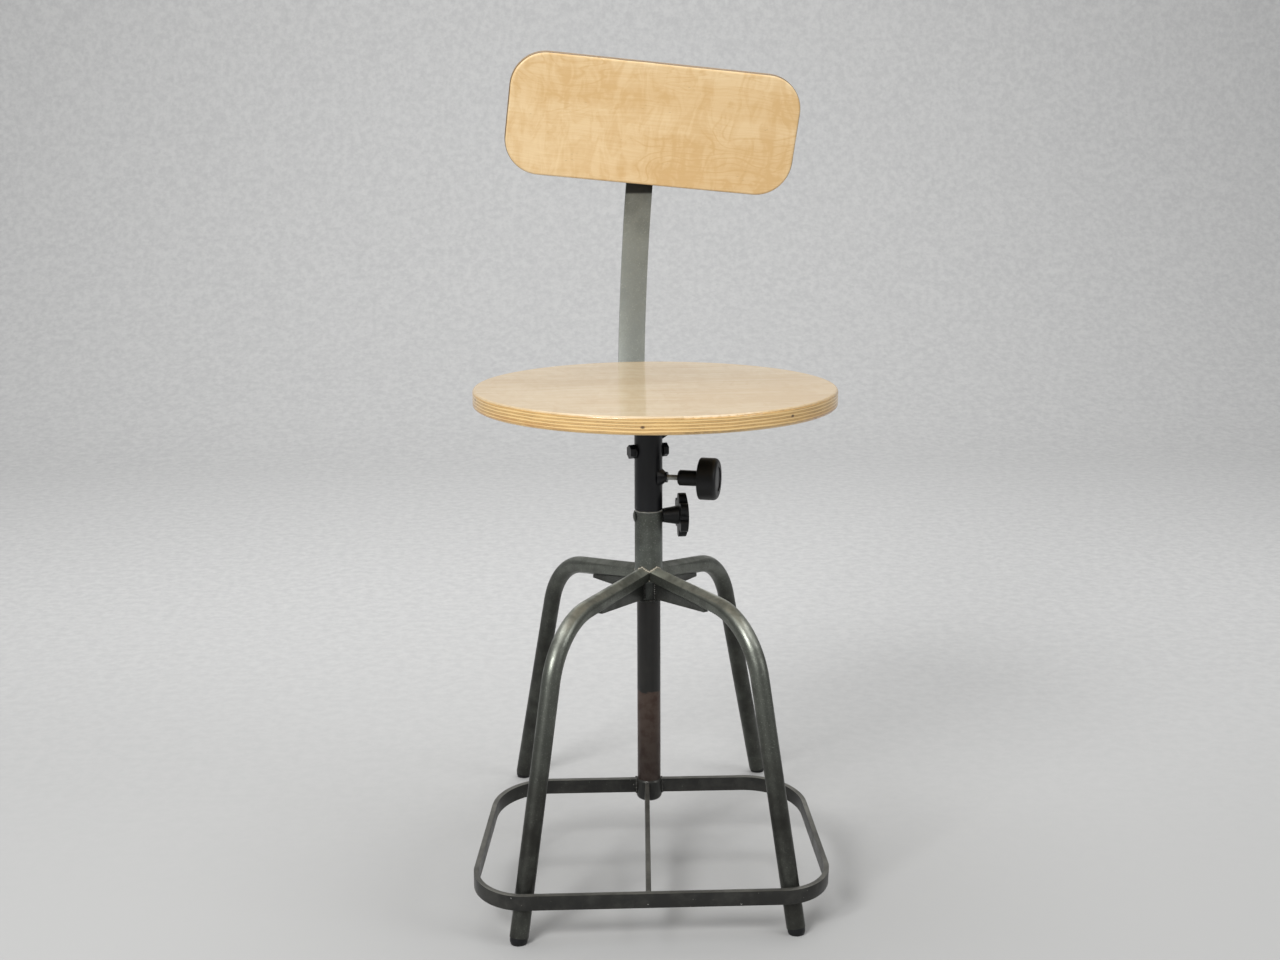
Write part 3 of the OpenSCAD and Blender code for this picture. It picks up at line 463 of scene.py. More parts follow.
@dataclass(frozen=True)
class HammeredEnamel(Finish):
    """Grey-green hammered enamel, worn through in places, painted lighter where it faces up, and darker
    towards one height with painted shade and some dirt.

    Attributes:
        top: The coat where it faces up; its difference from base is painted light.
        under: What shows where it has worn through, between the heights worn_low and worn_high.
        shade_and_grime_low: Below this height the painted shade, with some dirt, is full, and above
            shade_and_grime_high there is none.
        shadow_strip: The heights of a dark band of painted shadow on the front, and the band's soft margin.
        rim: The height above which a painted highlight runs round the edge.
    """

    base: Color = srgb(105, 108, 101)
    pale: Color = srgb(150, 154, 144)
    deep: Color = srgb(80, 82, 76)
    top: Color = srgb(192, 195, 184)
    under: Color = srgb(78, 58, 44)
    shade_and_grime: Color = srgb(47, 46, 43)
    worn_low: float = 0.12
    worn_high: float = 0.25
    worn_margins: tuple[float, float] = (0.05, 0.04)
    worn: float = 0.55
    shade_and_grime_low: float = 0.1
    shade_and_grime_high: float = 0.29
    shadow_strip: Triple | None = None
    strip_color: Color = srgb(20, 20, 19)
    rim: float | None = None
    rim_soft: float = 0.0002
    rim_highlight: Color = srgb(206, 208, 204)
    relief: float = 0.00012

    def paint(self, kit: Coat) -> None:
        """Lays the coat with its painted light, painted shade, dirt and wear, and its band of painted
        shadow and its painted highlight on the rim where it has them.

        Args:
            kit: The material under way.
        """
        where = kit.here()
        height = kit.parts(where)[2]
        # Painted light: faces that point up take the top colour instead of base.
        base = kit.mix(kit.facing(2, 0.3, 0.95), self.base, self.top)
        coat = kit.effects.hammer.use(kit, Vector=where, Base=base, Pale=self.pale, Deep=self.deep)
        # Painted shade with some dirt: darker towards one height, broken up by noise.
        cloudy = kit.span(kit.noise(where, 30.0, 4.0, 0.6), 0.3, 0.7, 0.55, 0.95)
        shade_and_grime_mask = kit.times(cloudy, kit.span(height, self.shade_and_grime_high, self.shade_and_grime_low))
        shaded_and_dirty = kit.mix(shade_and_grime_mask, coat["Color"], self.shade_and_grime)
        zone = kit.times(kit.between(height, self.worn_low, self.worn_high, *self.worn_margins), self.worn)
        color = kit.effects.wear.use(kit, Vector=where, Zone=zone, Under=self.under, Coat=shaded_and_dirty)["Color"]
        # Painted shadow: a dark band on the faces that point to the front, between two heights.
        if self.shadow_strip is not None:
            low, high, soft = self.shadow_strip
            front = kit.times(kit.facing(1, -0.3, -0.7), 0.88)
            dark = kit.times(kit.between(height, low, high, soft, soft), front)
            color = kit.mix(dark, color, self.strip_color)
        # Painted highlight: a bright line round the edge above one height.
        if self.rim is not None:
            bare = kit.span(height, self.rim - self.rim_soft, self.rim + self.rim_soft)
            color = kit.mix(bare, color, self.rim_highlight)
        kit.dress(Base_Color=color, Roughness=coat["Roughness"], Metallic=0.8)
        kit.bump(coat["Height"], self.relief)


@dataclass(frozen=True)
class DustedCoat(Finish):
    """One even coat under a film of dust and scuffs; its relief is the depth of the grit."""

    coat: Color
    dust: Color
    amount: float
    metallic: float = 0.0
    relief: float = 0.00003

    def film(self, kit: Coat) -> NodeOutputs:
        """Lays the dust on the coat, and gives the colour, roughness and height of the result."""
        return kit.effects.dust.use(kit, Vector=kit.here(), Coat=self.coat, Dust=self.dust,
                                    Amount=self.amount)

    def cover(self, kit: Coat, film: NodeOutputs, color: Socket) -> None:
        """Puts the film on the shader.

        Args:
            kit: The material under way.
            film: What film gave.
            color: The colour to show.
        """
        kit.dress(Base_Color=color, Roughness=film["Roughness"], Metallic=self.metallic)
        kit.bump(film["Height"], self.relief)

    def paint(self, kit: Coat) -> None:
        """Lays the dusted coat.

        Args:
            kit: The material under way.
        """
        film = self.film(kit)
        self.cover(kit, film, film["Color"])


@dataclass(frozen=True)
class PlatedMetal(DustedCoat):
    """Zinc-plated or ground steel."""

    coat: Color = srgb(196, 196, 192)
    dust: Color = srgb(140, 138, 130)
    amount: float = 0.7
    metallic: float = 0.9


@dataclass(frozen=True)
class BlackEnamel(DustedCoat):
    """Black half-gloss enamel."""

    coat: Color = srgb(16, 17, 21)
    dust: Color = srgb(36, 37, 41)
    amount: float = 0.25
    relief: float = 0.00004

    def paint(self, kit: Coat) -> None:
        """Lays the dusted coat and gives it its half gloss.

        Args:
            kit: The material under way.
        """
        super().paint(kit)
        kit.dress(Specular_IOR_Level=0.35, Coat_Weight=0.1, Coat_Roughness=0.3)


@dataclass(frozen=True)
class DarkSteel(DustedCoat):
    """Dark painted steel with dust, lighter upper faces that are partly painted highlight and partly wear
    from rubbing, and small chips.
    """

    coat: Color = srgb(46, 46, 44)
    dust: Color = srgb(92, 91, 86)
    amount: float = 0.35
    metallic: float = 0.5
    relief: float = 0.00006
    chip: Color = srgb(158, 156, 150)
    rub_and_highlight: Color = srgb(104, 103, 97)

    def paint(self, kit: Coat) -> None:
        """Lays the dusted coat, makes what faces up lighter in patches, partly painted highlight and partly
        wear from rubbing, and chips it.

        Args:
            kit: The material under way.
        """
        film = self.film(kit)
        where = kit.here()
        # Partly painted highlight, partly wear from rubbing: faces that point up are lighter in patches.
        patchy = kit.span(kit.noise(where, 46.0), 0.3, 0.7, 0.45, 1.0)
        rubbed_and_lit = kit.times(kit.facing(2, 0.25, 0.8), patchy)
        chip = kit.span(kit.noise(where, 260.0, 3.0, 0.6), 0.7, 0.75)
        self.cover(kit, film, kit.mix(chip, kit.mix(rubbed_and_lit, film["Color"], self.rub_and_highlight), self.chip))


@dataclass(frozen=True)
class CentreTubeSteel(DustedCoat):
    """The centre tube: dark paint above the ragged edge at edge_z, bare brown steel below.

    Attributes:
        fade_low: The height below which the steel is darkest.
    """

    coat: Color = srgb(42, 41, 40)
    dust: Color = srgb(70, 67, 62)
    amount: float = 0.3
    metallic: float = 0.45
    relief: float = 0.00005
    bare: Color = srgb(84, 70, 62)
    rust: Color = srgb(66, 47, 39)
    edge_z: float = 0.184
    edge_soft: float = 0.001
    edge_ragged: float = 0.01
    fade_low: float = 0.09

    def paint(self, kit: Coat) -> None:
        """Lays the paint above its edge and the steel below it.

        Args:
            kit: The material under way.
        """
        film = self.film(kit)
        where = kit.here()
        ragged = kit.times(kit.minus(kit.noise(where, 90.0), 0.5), self.edge_ragged)
        height = kit.plus(kit.parts(where)[2], ragged)
        rusty = kit.span(kit.noise(where, 70.0, 5.0, 0.65), 0.4, 0.66)
        steel = kit.mix(rusty, self.bare, self.rust)
        above = self.edge_z + self.edge_soft
        steel = kit.mix(kit.span(height, above, self.fade_low, 0.0, 0.45), steel, self.coat)
        low = kit.span(height, above, self.edge_z - self.edge_soft)
        self.cover(kit, film, kit.mix(low, film["Color"], steel))


@dataclass(frozen=True)
class MouldedPlastic(DustedCoat):
    """Fine-textured moulded plastic."""

    coat: Color = srgb(9, 10, 12)
    dust: Color = srgb(32, 34, 37)
    amount: float = 0.2
    relief: float = 0.00005

    def paint(self, kit: Coat) -> None:
        """Lays the dusted plastic with its fine texture.

        Args:
            kit: The material under way.
        """
        kit.dress(Base_Color=self.film(kit)["Color"], Roughness=0.44, Specular_IOR_Level=0.38)
        kit.bump(kit.noise(kit.here(), 2200.0, 2.0), self.relief)


@dataclass(frozen=True)
class WeldMetal(Finish):
    """Bright ground weld metal with darker scale."""

    bright: Color = srgb(178, 172, 158)
    scale: Color = srgb(96, 90, 80)
    relief: float = 0.0001

    def paint(self, kit: Coat) -> None:
        """Lays the metal and its scale.

        Args:
            kit: The material under way.
        """
        where = kit.here()
        patch = kit.effects.wear.use(kit, Vector=where, Zone=0.8, Under=self.scale, Coat=self.bright)
        kit.dress(Base_Color=patch["Color"], Metallic=0.6, Roughness=0.42)
        kit.bump(kit.noise(where, 800.0, 3.0), self.relief)


@dataclass(frozen=True)
class BirchPly(Finish):
    """Lacquered birch plywood: grain on the faces, plies round the edge.

    Attributes:
        frame: Where the board lies: X along the grain, and Z through it to the face that is used.
        ply: How thick one ply is.
        long: The edge of the plies that run along X, where cross is that of the plies between.
        gloss: How strong the lacquer's reflection is.
        polish: How rough the lacquer is.
        knots: Where dark knots lie in the edge. They are knot_flat times as wide as high.
        stain: How brown the lower edge is at both ends, from stain_from to stain_to off the middle.
        under_high: The height below which the lower face's grain begins to show; below under_low
            nothing else shows.
    """

    frame: Matrix
    thick: float
    ply: float
    light: Color = srgb(209, 188, 152)
    dark: Color = srgb(191, 163, 120)
    fleck: Color = srgb(140, 106, 68)
    long: Color = srgb(243, 210, 147)
    cross: Color = srgb(223, 180, 114)
    glue: Color = srgb(116, 76, 40)
    figure: float = 0.3
    fibre: float = 0.4
    rings: float = 0.35
    gloss: float = 0.8
    polish: float = 0.1
    knots: tuple[Triple, ...] = ()
    knot_size: float = 0.003
    knot_core: float = 0.35
    knot_flat: float = 1.6
    knot_color: Color = srgb(74, 46, 24)
    stain: float = 0.0
    stain_high: float = 0.0095
    stain_low: float = 0.0015
    stain_from: float = 0.08
    stain_to: float = 0.17
    stain_color: Color = srgb(170, 108, 52)
    under_high: float = 0.0004
    under_low: float = 0.0001
    relief: float = 0.00008

    def paint(self, kit: Coat) -> None:
        """Lays the grain, the plies and their stain and knots, under lacquer.

        Args:
            kit: The material under way.
        """
        where = kit.place(self.frame)
        across, _, height = kit.parts(where)
        face = kit.effects.grain.use(kit, Vector=where, Light=self.light, Dark=self.dark,
                                     Fleck_Color=self.fleck, Figure=self.figure, Fibre=self.fibre,
                                     Rings=self.rings)
        edge = kit.effects.plies.use(kit, Vector=where, Depth=kit.minus(self.thick, height), Ply=self.ply,
                                     Face=face["Color"], Long=self.long, Cross=self.cross, Glue=self.glue)
        ends = kit.span(kit.math("ABSOLUTE", across), self.stain_from, self.stain_to)
        low = kit.times(ends, kit.span(height, self.stain_high, self.stain_low, 0.0, self.stain))
        cloudy = kit.span(kit.noise(where, (40.0, 40.0, 160.0), 3.0), 0.34, 0.6)
        stained = kit.mix(kit.times(low, cloudy), edge["Color"], self.stain_color)
        under = kit.span(height, self.under_high, self.under_low)
        color = kit.mix(under, stained, face["Color"])
        flattened = kit.stretch(where, (1.0, 1.0, self.knot_flat))
        for x, y, z in self.knots:
            away = kit.add("ShaderNodeVectorMath", {0: flattened, 1: (x, y, z * self.knot_flat)},
                           operation="DISTANCE")
            spot = kit.span(away.outputs["Value"], self.knot_size, self.knot_size * self.knot_core)
            color = kit.mix(kit.times(spot, 0.9), color, self.knot_color)
        kit.dress(Base_Color=color, Roughness=face["Roughness"], Coat_Weight=self.gloss,
                  Coat_Roughness=self.polish)
        kit.bump(kit.plus(kit.times(face["Height"], 0.5), edge["Height"]), self.relief)


@dataclass(frozen=True)
class PaleFloor(Finish):
    """Plain pale floor with the faintest mottling, and painted shade that makes it a little darker towards
    the front.

    Attributes:
        dim_from: How far back the painted shade on the floor begins. At dim_to it is darkest.
    """

    light: Color = srgb(198, 198, 197)
    dark: Color = srgb(184, 184, 184)
    # Painted shade: the colour of the floor's front.
    front: Color = srgb(176, 176, 175)
    dim_from: float = 1.3
    dim_to: float = -0.3

    def paint(self, kit: Coat) -> None:
        """Lays the floor's tones.

        Args:
            kit: The material under way.
        """
        where = kit.here()
        mottled = kit.mix(kit.span(kit.noise(where, 60.0, 6.0, 0.7), 0.3, 0.7), self.light, self.dark)
        # Painted shade: the floor is darker towards the front, where the key light falls on it.
        painted_shade = kit.span(kit.parts(where)[1], self.dim_from, self.dim_to)
        color = kit.mix(painted_shade, mottled, self.front)
        kit.dress(Base_Color=color, Roughness=0.9, Specular_IOR_Level=0.1)


# Shapes


@dataclass
class WeldBead:
    """Geometry Nodes that lay a weld bead of small balls along the edges of a mesh.

    Attributes:
        step: How far apart the balls are.
        uneven: How much their size varies, as a share.
        sockets: The identifiers of the tree's inputs, by name.
    """

    step: float = 0.0011
    uneven: float = 0.3
    seed: int = 7
    tree: NodeTree = field(init=False)
    sockets: dict[str, str] = field(default_factory=dict)

    def build(self, material: Material) -> None:
        """Builds the tree, with its sizes as named inputs.

        Args:
            material: The material that it sets.
        """
        self.tree = bpy.data.node_groups.new("weld_bead", "GeometryNodeTree")
        rows = (("Geometry", "NodeSocketGeometry"), ("Bead Radius", FLOAT), ("Ripple Step", FLOAT),
                ("Unevenness", FLOAT), ("Seed", "NodeSocketInt"))
        for name, kind in rows:
            socket = self.tree.interface.new_socket(name, in_out="INPUT", socket_type=kind)
            self.sockets[name] = socket.identifier
        self.tree.interface.new_socket("Geometry", in_out="OUTPUT", socket_type="NodeSocketGeometry")
        kit = Tree(self.tree)
        given = kit.add("NodeGroupInput").outputs
        curve = kit.add("GeometryNodeMeshToCurve", {"Mesh": given["Geometry"]})
        points = kit.add("GeometryNodeCurveToPoints",
                         {"Curve": curve.outputs["Curve"], "Length": given["Ripple Step"]}, mode="LENGTH")
        ball = kit.add("GeometryNodeMeshIcoSphere", {"Subdivisions": 2, "Radius": given["Bead Radius"]})
        low = kit.minus(1.0, given["Unevenness"])
        high = kit.plus(1.0, given["Unevenness"])
        dice = kit.add("FunctionNodeRandomValue", {2: low, 3: high, "Seed": given["Seed"]},
                       data_type="FLOAT")
        laid = kit.add("GeometryNodeInstanceOnPoints",
                       {"Points": points.outputs["Points"], "Instance": ball.outputs["Mesh"],
                        "Rotation": points.outputs["Rotation"], "Scale": dice.outputs[1]})
        real = kit.add("GeometryNodeRealizeInstances", {0: laid.outputs["Instances"]})
        smooth = kit.add("GeometryNodeSetShadeSmooth", {"Geometry": real.outputs[0]})
        paint = kit.add("GeometryNodeSetMaterial", {"Geometry": smooth.outputs[0], "Material": material})
        kit.add("NodeGroupOutput", {0: paint.outputs[0]})

    def lay(self, name: str, paths: list[list[Vector]], radius: float) -> Object:
        """Lays beads along paths and turns them into a plain mesh.

        Args:
            name: The new piece's name.
            paths: The points of each bead.
            radius: The bead's radius.

        Returns:
            The piece.
        """
        mesh = bpy.data.meshes.new(name)
        points: list[Vector] = []
        edges: list[tuple[int, int]] = []
        for path in paths:
            first = len(points)
            points.extend(path)
            edges.extend((first + k, first + k + 1) for k in range(len(path) - 1))
        mesh.from_pydata([tuple(p) for p in points], edges, [])
        piece = show(name, mesh)
        modifier = piece.modifiers.new("bead", "NODES")
        modifier.node_group = self.tree
        sizes = {"Bead Radius": radius, "Ripple Step": self.step, "Unevenness": self.uneven,
                 "Seed": self.seed}
        for label, value in sizes.items():
            modifier[self.sockets[label]] = value
        shown = piece.evaluated_get(bpy.context.evaluated_depsgraph_get())
        plain = bpy.data.meshes.new_from_object(shown)
        piece.modifiers.clear()
        piece.data = plain
        return piece


@dataclass
class SoftEdges:
    """Makes a copy of a CAD node with its sharp edges rounded.

    Attributes:
        sharp: Edges with a larger angle are rounded.
        flat: Edges with a smaller angle are dissolved first.
        crease: Edges with a larger angle look sharp at the end.
        merge: Corners closer than this are merged.
    """

    sharp: float = math.radians(28)
    flat: float = math.radians(0.6)
    crease: float = math.radians(40)
    merge: float = 1e-6

    def copy(self, node: Object, name: str, width: float, segments: int = 3) -> Object:
        """Copies a node's mesh, merges it and rounds its edges.

        Args:
            node: The CAD node's object.
            name: The new piece's name.
            width: How wide the rounding is.
            segments: How many faces it has.

        Returns:
            The new piece.
        """
        mesh = bpy.data.meshes.new(name)
        mesh.from_pydata([v.co for v in node.data.vertices], [],
                         [tuple(f.vertices) for f in node.data.polygons])
        work = bmesh.new()
        work.from_mesh(mesh)
        bmesh.ops.remove_doubles(work, verts=work.verts, dist=self.merge)
        bmesh.ops.dissolve_limit(work, angle_limit=self.flat, verts=work.verts, edges=work.edges,
                                 delimit={"NORMAL"})
        edges = [e for e in work.edges if len(e.link_faces) == 2 and e.calc_face_angle(0.0) > self.sharp]
        bmesh.ops.bevel(work, geom=edges, offset=width, offset_type="OFFSET", segments=segments,
                        profile=0.5, affect="EDGES", clamp_overlap=True, miter_outer="ARC")
        bmesh.ops.remove_doubles(work, verts=work.verts, dist=self.merge)
        bmesh.ops.recalc_face_normals(work, faces=work.faces)
        work.to_mesh(mesh)
        work.free()
        mesh.shade_smooth()
        mesh.set_sharp_from_angle(angle=self.crease)
        return show(name, mesh)


# The chair


@dataclass
class Workshop:
    """The tools and finishes that every sub-assembly shares."""

    nodes: dict[str, Object]
    effects: Effects = field(default_factory=Effects)
    soft: SoftEdges = field(default_factory=SoftEdges)
    bead: WeldBead = field(default_factory=WeldBead)
    finishes: dict[Slot, Material] = field(init=False)
    weld_metal: Material = field(init=False)

    def __post_init__(self) -> None:
        """Makes the finishes and the bead's tree."""
        rows = {
            Slot.GREY: HammeredEnamel("hammered_enamel"),
            Slot.DARK: DarkSteel("dark_steel"),
            Slot.TUBE: CentreTubeSteel("centre_tube_steel"),
            Slot.BLACK: BlackEnamel("black_enamel"),
            Slot.PLASTIC: MouldedPlastic("moulded_plastic"),
            Slot.ZINC: PlatedMetal("zinc_plate"),
            Slot.BRIGHT: PlatedMetal("ground_steel", coat=srgb(188, 187, 182)),
            Slot.NYLON: MouldedPlastic("nylon", coat=srgb(222, 222, 214), dust=srgb(190, 188, 180)),
        }
        self.finishes = {slot: finish.make(self.effects) for slot, finish in rows.items()}
        self.weld_metal = WeldMetal("weld_metal").make(self.effects)
        self.bead.build(self.weld_metal)

    def dress(self, names: list[str], finish: Slot | Finish) -> None:
        """Gives CAD nodes a finish.

        Args:
            names: The nodes.
            finish: The slot of a shared finish, or a finish of their own.
        """
        material = self.finishes[finish] if isinstance(finish, Slot) else finish.make(self.effects)
        for name in names:
            for slot in self.nodes[name].material_slots:
                slot.material = material
            LOG.info("%s is dressed in %s", name, material.name)

    def attach(self, piece: Object, body: Body, slot: Slot, node: str = "",
               material: Material | None = None) -> None:
        """Paints a new piece and lets it ride on a body.

        Args:
            piece: The piece.
            body: The body.
            slot: The record's slot of its finish.
            node: The CAD node that it stands for, if any.
            material: Its material, where it isn't the slot's shared one.
        """
        piece.data.materials.clear()
        piece.data.materials.append(material or self.finishes[slot])
        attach(piece, body.value)
        if node:
            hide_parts(node)
        LOG.info("%s rides on %s and stands for %s", piece.name, body.value, node or "no node")


@dataclass(frozen=True)
class Leg:
    """One leg's course from the column to the floor.

    Its angles are in degrees.

    Attributes:
        azimuth: Its heading from the column.
        fall: The fall of its upper stretch.
        knee: How far out its two straights would cross, in millimetres.
        lean: The lean of its lower stretch.
        tilt: How far its facets are turned towards the front.
    """

    name: str
    azimuth: float
    fall: float
    knee: float
    lean: float
    tilt: float

    def along(self) -> Vector:
        """Gives its level heading."""
        turn = math.radians(self.azimuth)
        return Vector((math.cos(turn), math.sin(turn), 0.0))

    def side(self) -> Vector:
        """Gives the level direction across it, towards the front."""
        turn = math.radians(self.azimuth)
        across = Vector((-math.sin(turn), math.cos(turn), 0.0))
        return across if across.y < 0 else -across


@dataclass
class LegTube:
    """Sweeps a leg's tube: six pressed facets by the sleeve that run out into the bend.

    Attributes:
        root: The radius round the column at which the tube starts, just inside the sleeve's face.
        start_z: The height of the leg's axis at the column's axis.
        facet: How far a full facet is from the tube's axis.
        crisp: How far along the leg the facets stay full.
        step: How far apart the tube's rings are, down to the end of the bend.
        around: How many corners a ring has.
    """

    root: float = 14.6 * MM
    start_z: float = 316.5 * MM
    radius: float = 9.5 * MM
    facet: float = 8.3 * MM
    facets: int = 6
    crisp: float = 30.0 * MM
    bend_r: float = 80.0 * MM
    end_z: float = 6.0 * MM
    step: float = 4.0 * MM
    lower_rings: int = 8
    around: int = 72
    crease: float = math.radians(24)

    def course(self, leg: Leg) -> list[tuple[Vector, Vector, float]]:
        """Follows the leg's axis.

        Args:
            leg: The leg.

        Returns:
            Each point with the way up across the tube there, and its distance along the leg.
        """
        fall = math.radians(leg.fall)
        lean = math.radians(leg.lean)
        turn = math.radians(90.0) - fall - lean
        cut = self.bend_r * math.tan(turn / 2)
        knee = leg.knee * MM
        upper = knee / math.cos(fall) - cut
        knee_z = self.start_z - knee * math.tan(fall)
        lower = (knee_z - self.end_z) / math.cos(lean) - cut
        first = self.root + self.step
        count = round((upper - first) / self.step)
        runs = [first + (upper - first) * k / count for k in range(count)]
        at = [(run * math.cos(fall), -run * math.sin(fall), fall, run) for run in runs]
        out0, down0 = upper * math.cos(fall), -upper * math.sin(fall)
        count = round(self.bend_r * turn / self.step)
        for k in range(count + 1):
            now = fall + turn * k / count
            out = out0 + self.bend_r * (math.sin(now) - math.sin(fall))
            down = down0 - self.bend_r * (math.cos(fall) - math.cos(now))
            at.append((out, down, now, upper + self.bend_r * (now - fall)))
        out1, down1, _, far1 = at[-1]
        heading = math.radians(90.0) - lean
        for k in range(1, self.lower_rings + 1):
            run = lower * k / self.lower_rings
            at.append((out1 + run * math.cos(heading), down1 - run * math.sin(heading), heading,
                       far1 + run))
        along = leg.along()
        return [(COLUMN + along * out + Vector((0, 0, self.start_z + down)),
                 along * math.sin(angle) + Vector((0, 0, math.cos(angle))), far)
                for out, down, angle, far in at]

    def girth(self, angle: float, far: float = 0.0, fade: float = 1.0) -> float:
        """Gives the tube's radius in one direction.

        Args:
            angle: The direction round the tube, from a facet's edge, in radians.
            far: The distance along the leg.
            fade: Where the facets have run out.

        Returns:
            The radius there.
        """
        share = min(1.0, max(0.0, (far - self.crisp) / (fade - self.crisp)))
        inner = self.facet + (self.radius - self.facet) * share * share * (3 - 2 * share)
        half = math.pi / self.facets
        off = (angle % (2 * half)) - half
        return min(self.radius, inner / math.cos(off))

    def root_point(self, leg: Leg, angle: float, reach: float, root: float, proud: float = 0.0) -> Vector:
        """Finds where one line of the tube's surface meets a cylinder round the column.

        Args:
            leg: The leg.
            angle: The line's direction round the tube, in radians.
            reach: The tube's radius there.
            root: The cylinder's radius.
            proud: How much further out the point lies.

        Returns:
            The point.
        """
        fall = math.radians(leg.fall)
        across = reach * math.sin(angle)
        rise = reach * math.cos(angle)
        out = math.sqrt(root ** 2 - across ** 2) + proud
        far = (out - rise * math.sin(fall)) / math.cos(fall)
        height = self.start_z - far * math.sin(fall) + rise * math.cos(fall)
        return COLUMN + leg.along() * out + leg.side() * across + Vector((0, 0, height))

    def sweep(self, leg: Leg) -> Object:
        """Makes the tube's mesh, cut at the middle between it and the leg beside it.

        Args:
            leg: The leg.

        Returns:
            The piece.
        """
        work = bmesh.new()
        side = leg.side()
        tilt = math.radians(leg.tilt)
        angles = [math.tau * k / self.around for k in range(self.around)]
        start = [work.verts.new(self.root_point(leg, angle + tilt, self.girth(angle), self.root))
                 for angle in angles]
        middle = work.verts.new(self.root_point(leg, 0.0, 0.0, self.root))
        for k in range(self.around):
            work.faces.new((start[k], start[(k + 1) % self.around], middle))
        rings = [start]
        for point, up, far in self.course(leg):
            ring = []
            for angle in angles:
                way = up * math.cos(angle + tilt) + side * math.sin(angle + tilt)
                ring.append(work.verts.new(point + way * self.girth(angle, far, leg.knee * MM)))
            rings.append(ring)
        for first, second in zip(rings, rings[1:]):
            for k in range(self.around):
                m = (k + 1) % self.around
                work.faces.new((first[k], first[m], second[m], second[k]))
        work.faces.new(rings[-1])
        inward = Vector((1.0 if leg.along().x < 0 else -1.0, 0.0, 0.0))
        cut = bmesh.ops.bisect_plane(work, geom=work.verts[:] + work.edges[:] + work.faces[:],
                                     plane_co=COLUMN, plane_no=inward, clear_outer=True)
        rim = [e for e in cut["geom_cut"] if isinstance(e, bmesh.types.BMEdge)]
        bmesh.ops.holes_fill(work, edges=rim, sides=0)
        bmesh.ops.recalc_face_normals(work, faces=work.faces)
        mesh = bpy.data.meshes.new("leg_tube_" + leg.name)
        work.to_mesh(mesh)
        work.free()
        mesh.shade_smooth()
        mesh.set_sharp_from_angle(angle=self.crease)
        return show(mesh.name, mesh)


